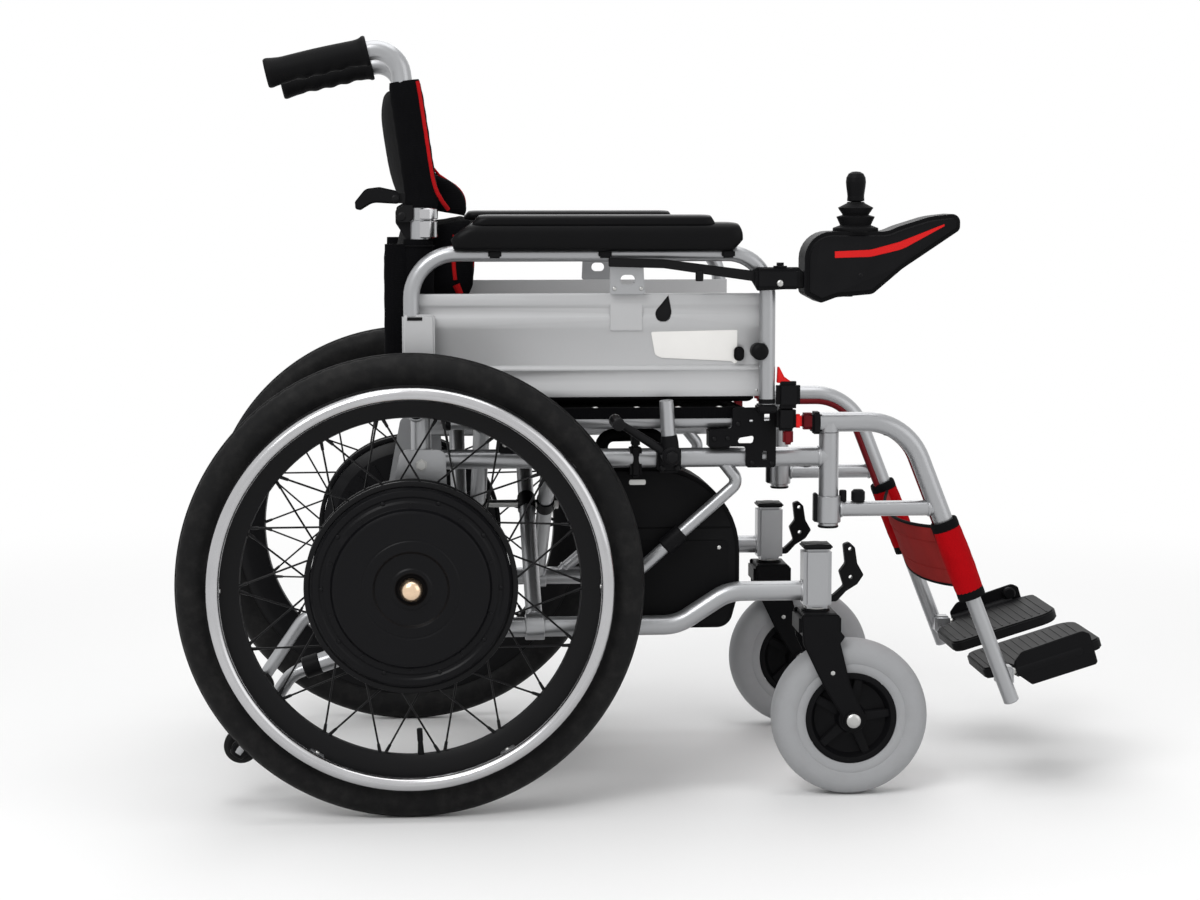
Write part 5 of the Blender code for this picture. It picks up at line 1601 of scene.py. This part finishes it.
def lower_cane_sleeve(side):
    """The lower panel's sleeve on the cane, bound near its ends, with its hem behind the cane."""
    low, high = 0.507, 0.7070
    steps = 24
    path, sizes = [], []
    for i in range(steps + 1):
        share = i / steps
        path.append(on_frame(CANE_X - 0.002, low + (high - low) * share))
        ends = min(share, 1 - share) * steps
        sizes.append(0.0137 + 0.00015 * math.sin(i * 1.7) - (0.0009 if ends < 1 else 0))
    hem = [p + Vector((-0.0230, 0, -0.0060)) for p in path]
    parts = [
        ("back_cloth", sweep(path, sizes, 36, 1.42)),
        ("back_cloth", sweep(hem, [size * 0.74 for size in sizes], 32, 1.9)),
    ]
    for place in (path[1], path[-2]):
        ring = [place + Vector((0.0195 * math.cos(t), 0.0137 * math.sin(t), 0)) for t in turns(40)]
        parts.append(("binding", sweep(ring, 0.0010, 8, closed=True)))
    sleeve = side_piece(side, "cane_sleeve_lower", parts, "frame", sharp=60)


def upper_cane_sleeve(side):
    """The upper panel's sleeve on the cane, with red piping down its front."""
    low, tall = 0.7455, 0.1545
    steps = 24
    path, sizes, front = [], [], []
    for i in range(steps + 1):
        place = cane_place(low + tall * i / steps) + X_AXIS * 0.0025
        taper = 0.0010 if i == 0 else 0.0009 * max(i - 20, 0) / 4 * (1 + (i == steps))
        reach = 0.0165 + 0.003 * (1 - ramp(place.z, 0.750, 0.790))
        path.append(place)
        sizes.append(0.0141 + 0.0002 * math.sin(i * 1.9) - taper)
        front.append(place + X_AXIS * reach + OUTWARD * 0.0085)
    foot = front[0]
    piping = [foot + Vector((0.0135, 0.0155, -0.0020)), foot + Vector((0.0060, 0.0060, 0.0060))] + front[3:]
    parts = [
        ("back_cloth", sweep(path, sizes, 36, 1.46)),
        ("piping", sweep(smooth_line(piping), 0.0026, 12)),
    ]
    sleeve = side_piece(side, "cane_sleeve_upper", parts, "upper_back", sharp=60)


# Seat


def cushion_point(u, v, face):
    pull_x = 1 - 0.020 * (1 - v * v)
    pull_y = 1 - 0.025 * (1 - u * u)
    x = SEAT_MIDDLE_X + 0.1915 * u * pull_x
    y = 0.1965 * v * pull_y
    if face < 0:
        return Vector((x, y, 0.5016))
    rise = (1 - abs(u) ** 5) * (1 - abs(v) ** 5)
    dish = 0.004 * math.exp(-((u * 1.6) ** 2 + (v * 1.6) ** 2))
    return Vector((x, y, 0.5235 + 0.0185 * rise - dish))


def cushion_held(p):
    return 1.0 if p.z < 0.5045 else 0.0


def seat_cushion():
    """A filled cushion with red piping round its top and binding round its foot."""
    pad = puffed("seat_pad", grid_solid(cushion_point, 44, 44), cushion_held, 0.007, 0.0055, 4.0)
    tree = BVHTree.FromBMesh(pad)
    parts = [("seat_cloth", pad)]
    for level, look, size in ((0.5215, "piping", 0.0030), (0.5060, "binding", 0.0013)):
        line = []
        for u, v in rim_places(1.0, 1.0, 30):
            inside = Vector((SEAT_MIDDLE_X + 0.185 * u, 0.190 * v, level))
            start = Vector((SEAT_MIDDLE_X, 0, level)) + Vector((0.24 * u, 0.24 * v, 0))
            hit = tree.ray_cast(start, (inside - start).normalized())[0]
            line.append((hit or inside) + Vector((u, v, 0)).normalized() * 0.0004)
        parts.append((look, sweep(smooth_line(line, closed=True, passes=3), size, 10, closed=True)))
    cushion = piece("seat_pad", parts, "seat", ["seat_cushion"], sharp=60)
    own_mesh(cushion)


def sling_point(u, v, face):
    sag = 0.004 * (1 - v * v)
    return Vector((0.2325 + 0.1855 * u, 0.2155 * v, 0.4957 + 0.0011 * face - sag))


def seat_sling():
    """The cloth under the cushion, with stitched hems and a row of rivets along each rail."""
    rivets = [Vector((0.075 + 0.052 * i, way * 0.2075, 0.4965)) for way in (-1, 1) for i in range(7)]
    parts = [("seat_cloth", grid_solid(sling_point, 30, 44))]
    for u in (-0.985, -0.90, 0.90, 0.985):
        line = [sling_point(u, v, 1) for v in along_line(-0.97, 0.97, 40)]
        parts.append(("binding", sweep(line, 0.0008, 6)))
    parts += domes("steel", rivets, 0.0042, 0.0016, Z_AXIS)
    sling = piece("seat_sling_cloth", parts, "seat", ["seat_sling"], sharp=60)
    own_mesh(sling)


def cross(name, xs, low_y):
    """Half of the scissor: its slanted tubes, their foot rings, and the seat rail that they carry."""
    high_y = -low_y
    ring = mirrored([(TUBE_R + 0.0006, -0.012), (0.0158, -0.012), (0.0165, -0.0112)])
    band = mirrored([(0.0095, -0.0130), (0.0120, -0.0130)])
    parts = []
    for x in xs:
        foot, head = Vector((x, low_y, LOWER_Z)), Vector((x, high_y, RAIL_Z))
        run = (head - foot).normalized()
        parts += [
            ("silver", sweep([foot + run * 0.0130, head], CROSS_R)),
            ("silver", turned(ring, foot, X_AXIS, 40)),
            ("silver", weld(foot + run * 0.0170, run, CROSS_R)),
            ("silver", weld(head - run * 0.0125, run, CROSS_R)),
            ("black", turned(band, foot + run * 0.243, run, 32)),
        ]
    rail = [Vector((x, high_y, RAIL_Z)) for x in (0.045, 0.420)]
    parts.append(("silver", sweep(rail, 0.011)))
    for end, way in zip(rail, (-X_AXIS, X_AXIS)):
        parts.append(("black", rod(end - way * 0.006, end + way * 0.0008, 0.0117, 28, 0.001)))
    flap = box_outline((0.0470, 0.4180), (0.4832, 0.4972))
    faces = sorted(math.copysign(half, high_y) for half in (FRAME_HALF + 0.0112, FRAME_HALF + 0.0126))
    parts.append(("seat_cloth", softened(prism(flap, *faces), 0.0004, 1)))
    piece(f"cross_tube_{name}", parts, f"cross_{name}", [f"cross_{name}"])


def cross_bolt():
    start = Vector((0.0485, 0, (LOWER_Z + RAIL_Z) / 2))
    parts = [
        ("steel", rod(start, start + X_AXIS * 0.149, 0.005)),
        ("steel", hexagon(start + X_AXIS * 0.0055, -X_AXIS, 0.0078, 0.0055)),
        ("steel", hexagon(start + X_AXIS * 0.1435, X_AXIS, 0.0078, 0.0055)),
    ]
    piece("scissor_bolt", parts, "cross_a", ["cross_bolt"])


# Battery and calf strap


def battery():
    """A case with a groove round it, a raised panel, a strap loop to the tube and a rubber handle."""
    shape = outline(
        [(0.236, 0.2122), (0.404, 0.2122), (0.417, 0.2600), (0.417, 0.4200), (0.236, 0.4200)],
        [0.012, 0.02, 0.03, 0.11, 0.008], 12)
    case = softened(plate(shape, 0.106, 0.1895, 0), 0.006, 4, 60)
    groove = (0.3405, 0.3430)
    grooves = [block((0.22, 0.43), (0.100, 0.1075), groove, 0),
               block((0.22, 0.43), (0.188, 0.200), groove, 0),
               block((0.4155, 0.43), (0.10, 0.20), groove, 0)]
    raised = outline([(0.252, 0.228), (0.392, 0.228), (0.402, 0.262), (0.402, 0.326), (0.252, 0.326)],
                     [0.008, 0.012, 0.02, 0.008, 0.008], 6)
    screws = [at(x, 0.1906, z) for x, z in ((0.262, 0.238), (0.384, 0.240), (0.262, 0.316), (0.390, 0.316))]
    handle = [at(x, 0.148, z) for x, z in
              ((0.246, 0.4140), (0.242, 0.4560), (0.316, 0.4570), (0.326, 0.4140))]
    loop = (FRAME_HALF - 0.0165, FRAME_HALF + 0.0145)
    lug = (FRAME_HALF - 0.0100, FRAME_HALF + 0.0120)
    parts = [
        ("case", carved(case, *grooves)),
        ("case", plate(raised, 0.1885, 0.1908, 0.0010)),
        ("steel", block((0.2755, 0.2965), (0.1880, 0.1908), (0.3970, 0.4035), 0.0010)),
        ("black", block((0.2745, 0.2890), loop, (0.4090, 0.4500), 0.004, 3)),
        ("black", block((0.2765, 0.2870), lug, (0.4470, 0.4660), 0.003)),
        *domes("steel", screws, 0.0026, 0.0010),
        ("rubber", sweep(rounded(handle, [0, 0.016, 0.016, 0], 6), 0.0085, 20)),
    ]
    piece("battery_case", parts, "right_frame", ["battery_box"])


def calf_strap():
    """A padded web from sleeve to sleeve, bound along both edges."""
    middle = down_tube(0.300)
    run = (down_tube(0.250) - down_tube(0.350)).normalized()
    out = Vector((run.z, 0, -run.x))
    half = FRAME_HALF - 0.0178 - 0.001

    def place(u, v, depth):
        bow = 0.030 * (1 - u * u)
        point = middle + run * 0.043 * v + out * (depth + bow)
        return Vector((point.x, half * u, point.z))

    def strap_point(u, v, face):
        pad = 0.0006 * (1 - v ** 4) * (1 + 0.5 * math.cos(u * 22))
        return place(u, v, face * (0.0010 + pad))

    parts = [("strap_cloth", grid_solid(strap_point, 60, 16))]
    for v in (-0.96, 0.96):
        edge = [place(u, v, 0) for u in along_line(-1, 1, 60)]
        parts.append(("binding", sweep(edge, 0.0022, 10)))
    for v in (-0.45, 0.45):
        for depth in (-0.0016, 0.0016):
            stitches = [place(u, v, depth) for u in along_line(-0.99, 0.99, 60)]
            parts.append(("strap_cloth", sweep(stitches, 0.0006, 6)))
    strap = piece("calf_web", parts, "right_hanger", ["calf_strap"], sharp=60)
    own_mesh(strap)


# The whole chair

SIDE_PIECES = (
    side_frame, axle_plate, axle_cap, seat_bracket, brake_clamp, brake_lever, rear_tyre, rear_rim, hub_motor,
    handrim, caster_tyre, caster_hub, caster_fork, anti_tip_roller, hanger, leg_sleeve, footplate, arm_frame,
    arm_pad, side_panel, upper_cane, hand_grip, back_latch,
)

camera()
stage()
for side in SIDES:
    for make in SIDE_PIECES:
        make(side)
joystick_bar()
joystick_housing()
joystick_boot()
joystick_stick()
battery()
cross("a", (0.065, 0.155), -FRAME_HALF)
cross("b", (0.090, 0.180), FRAME_HALF)
cross_bolt()
calf_strap()
back_panel("back_pad_lower", lower_back_point, lower_held, 0.525, 0.713, "right_frame", "back_lower", True)
back_panel("back_pad_upper", upper_back_point, upper_held, 0.754, 0.887, "right_upper_back", "back_upper")
for side in SIDES:
    lower_cane_sleeve(side)
    upper_cane_sleeve(side)
seat_cushion()
seat_sling()
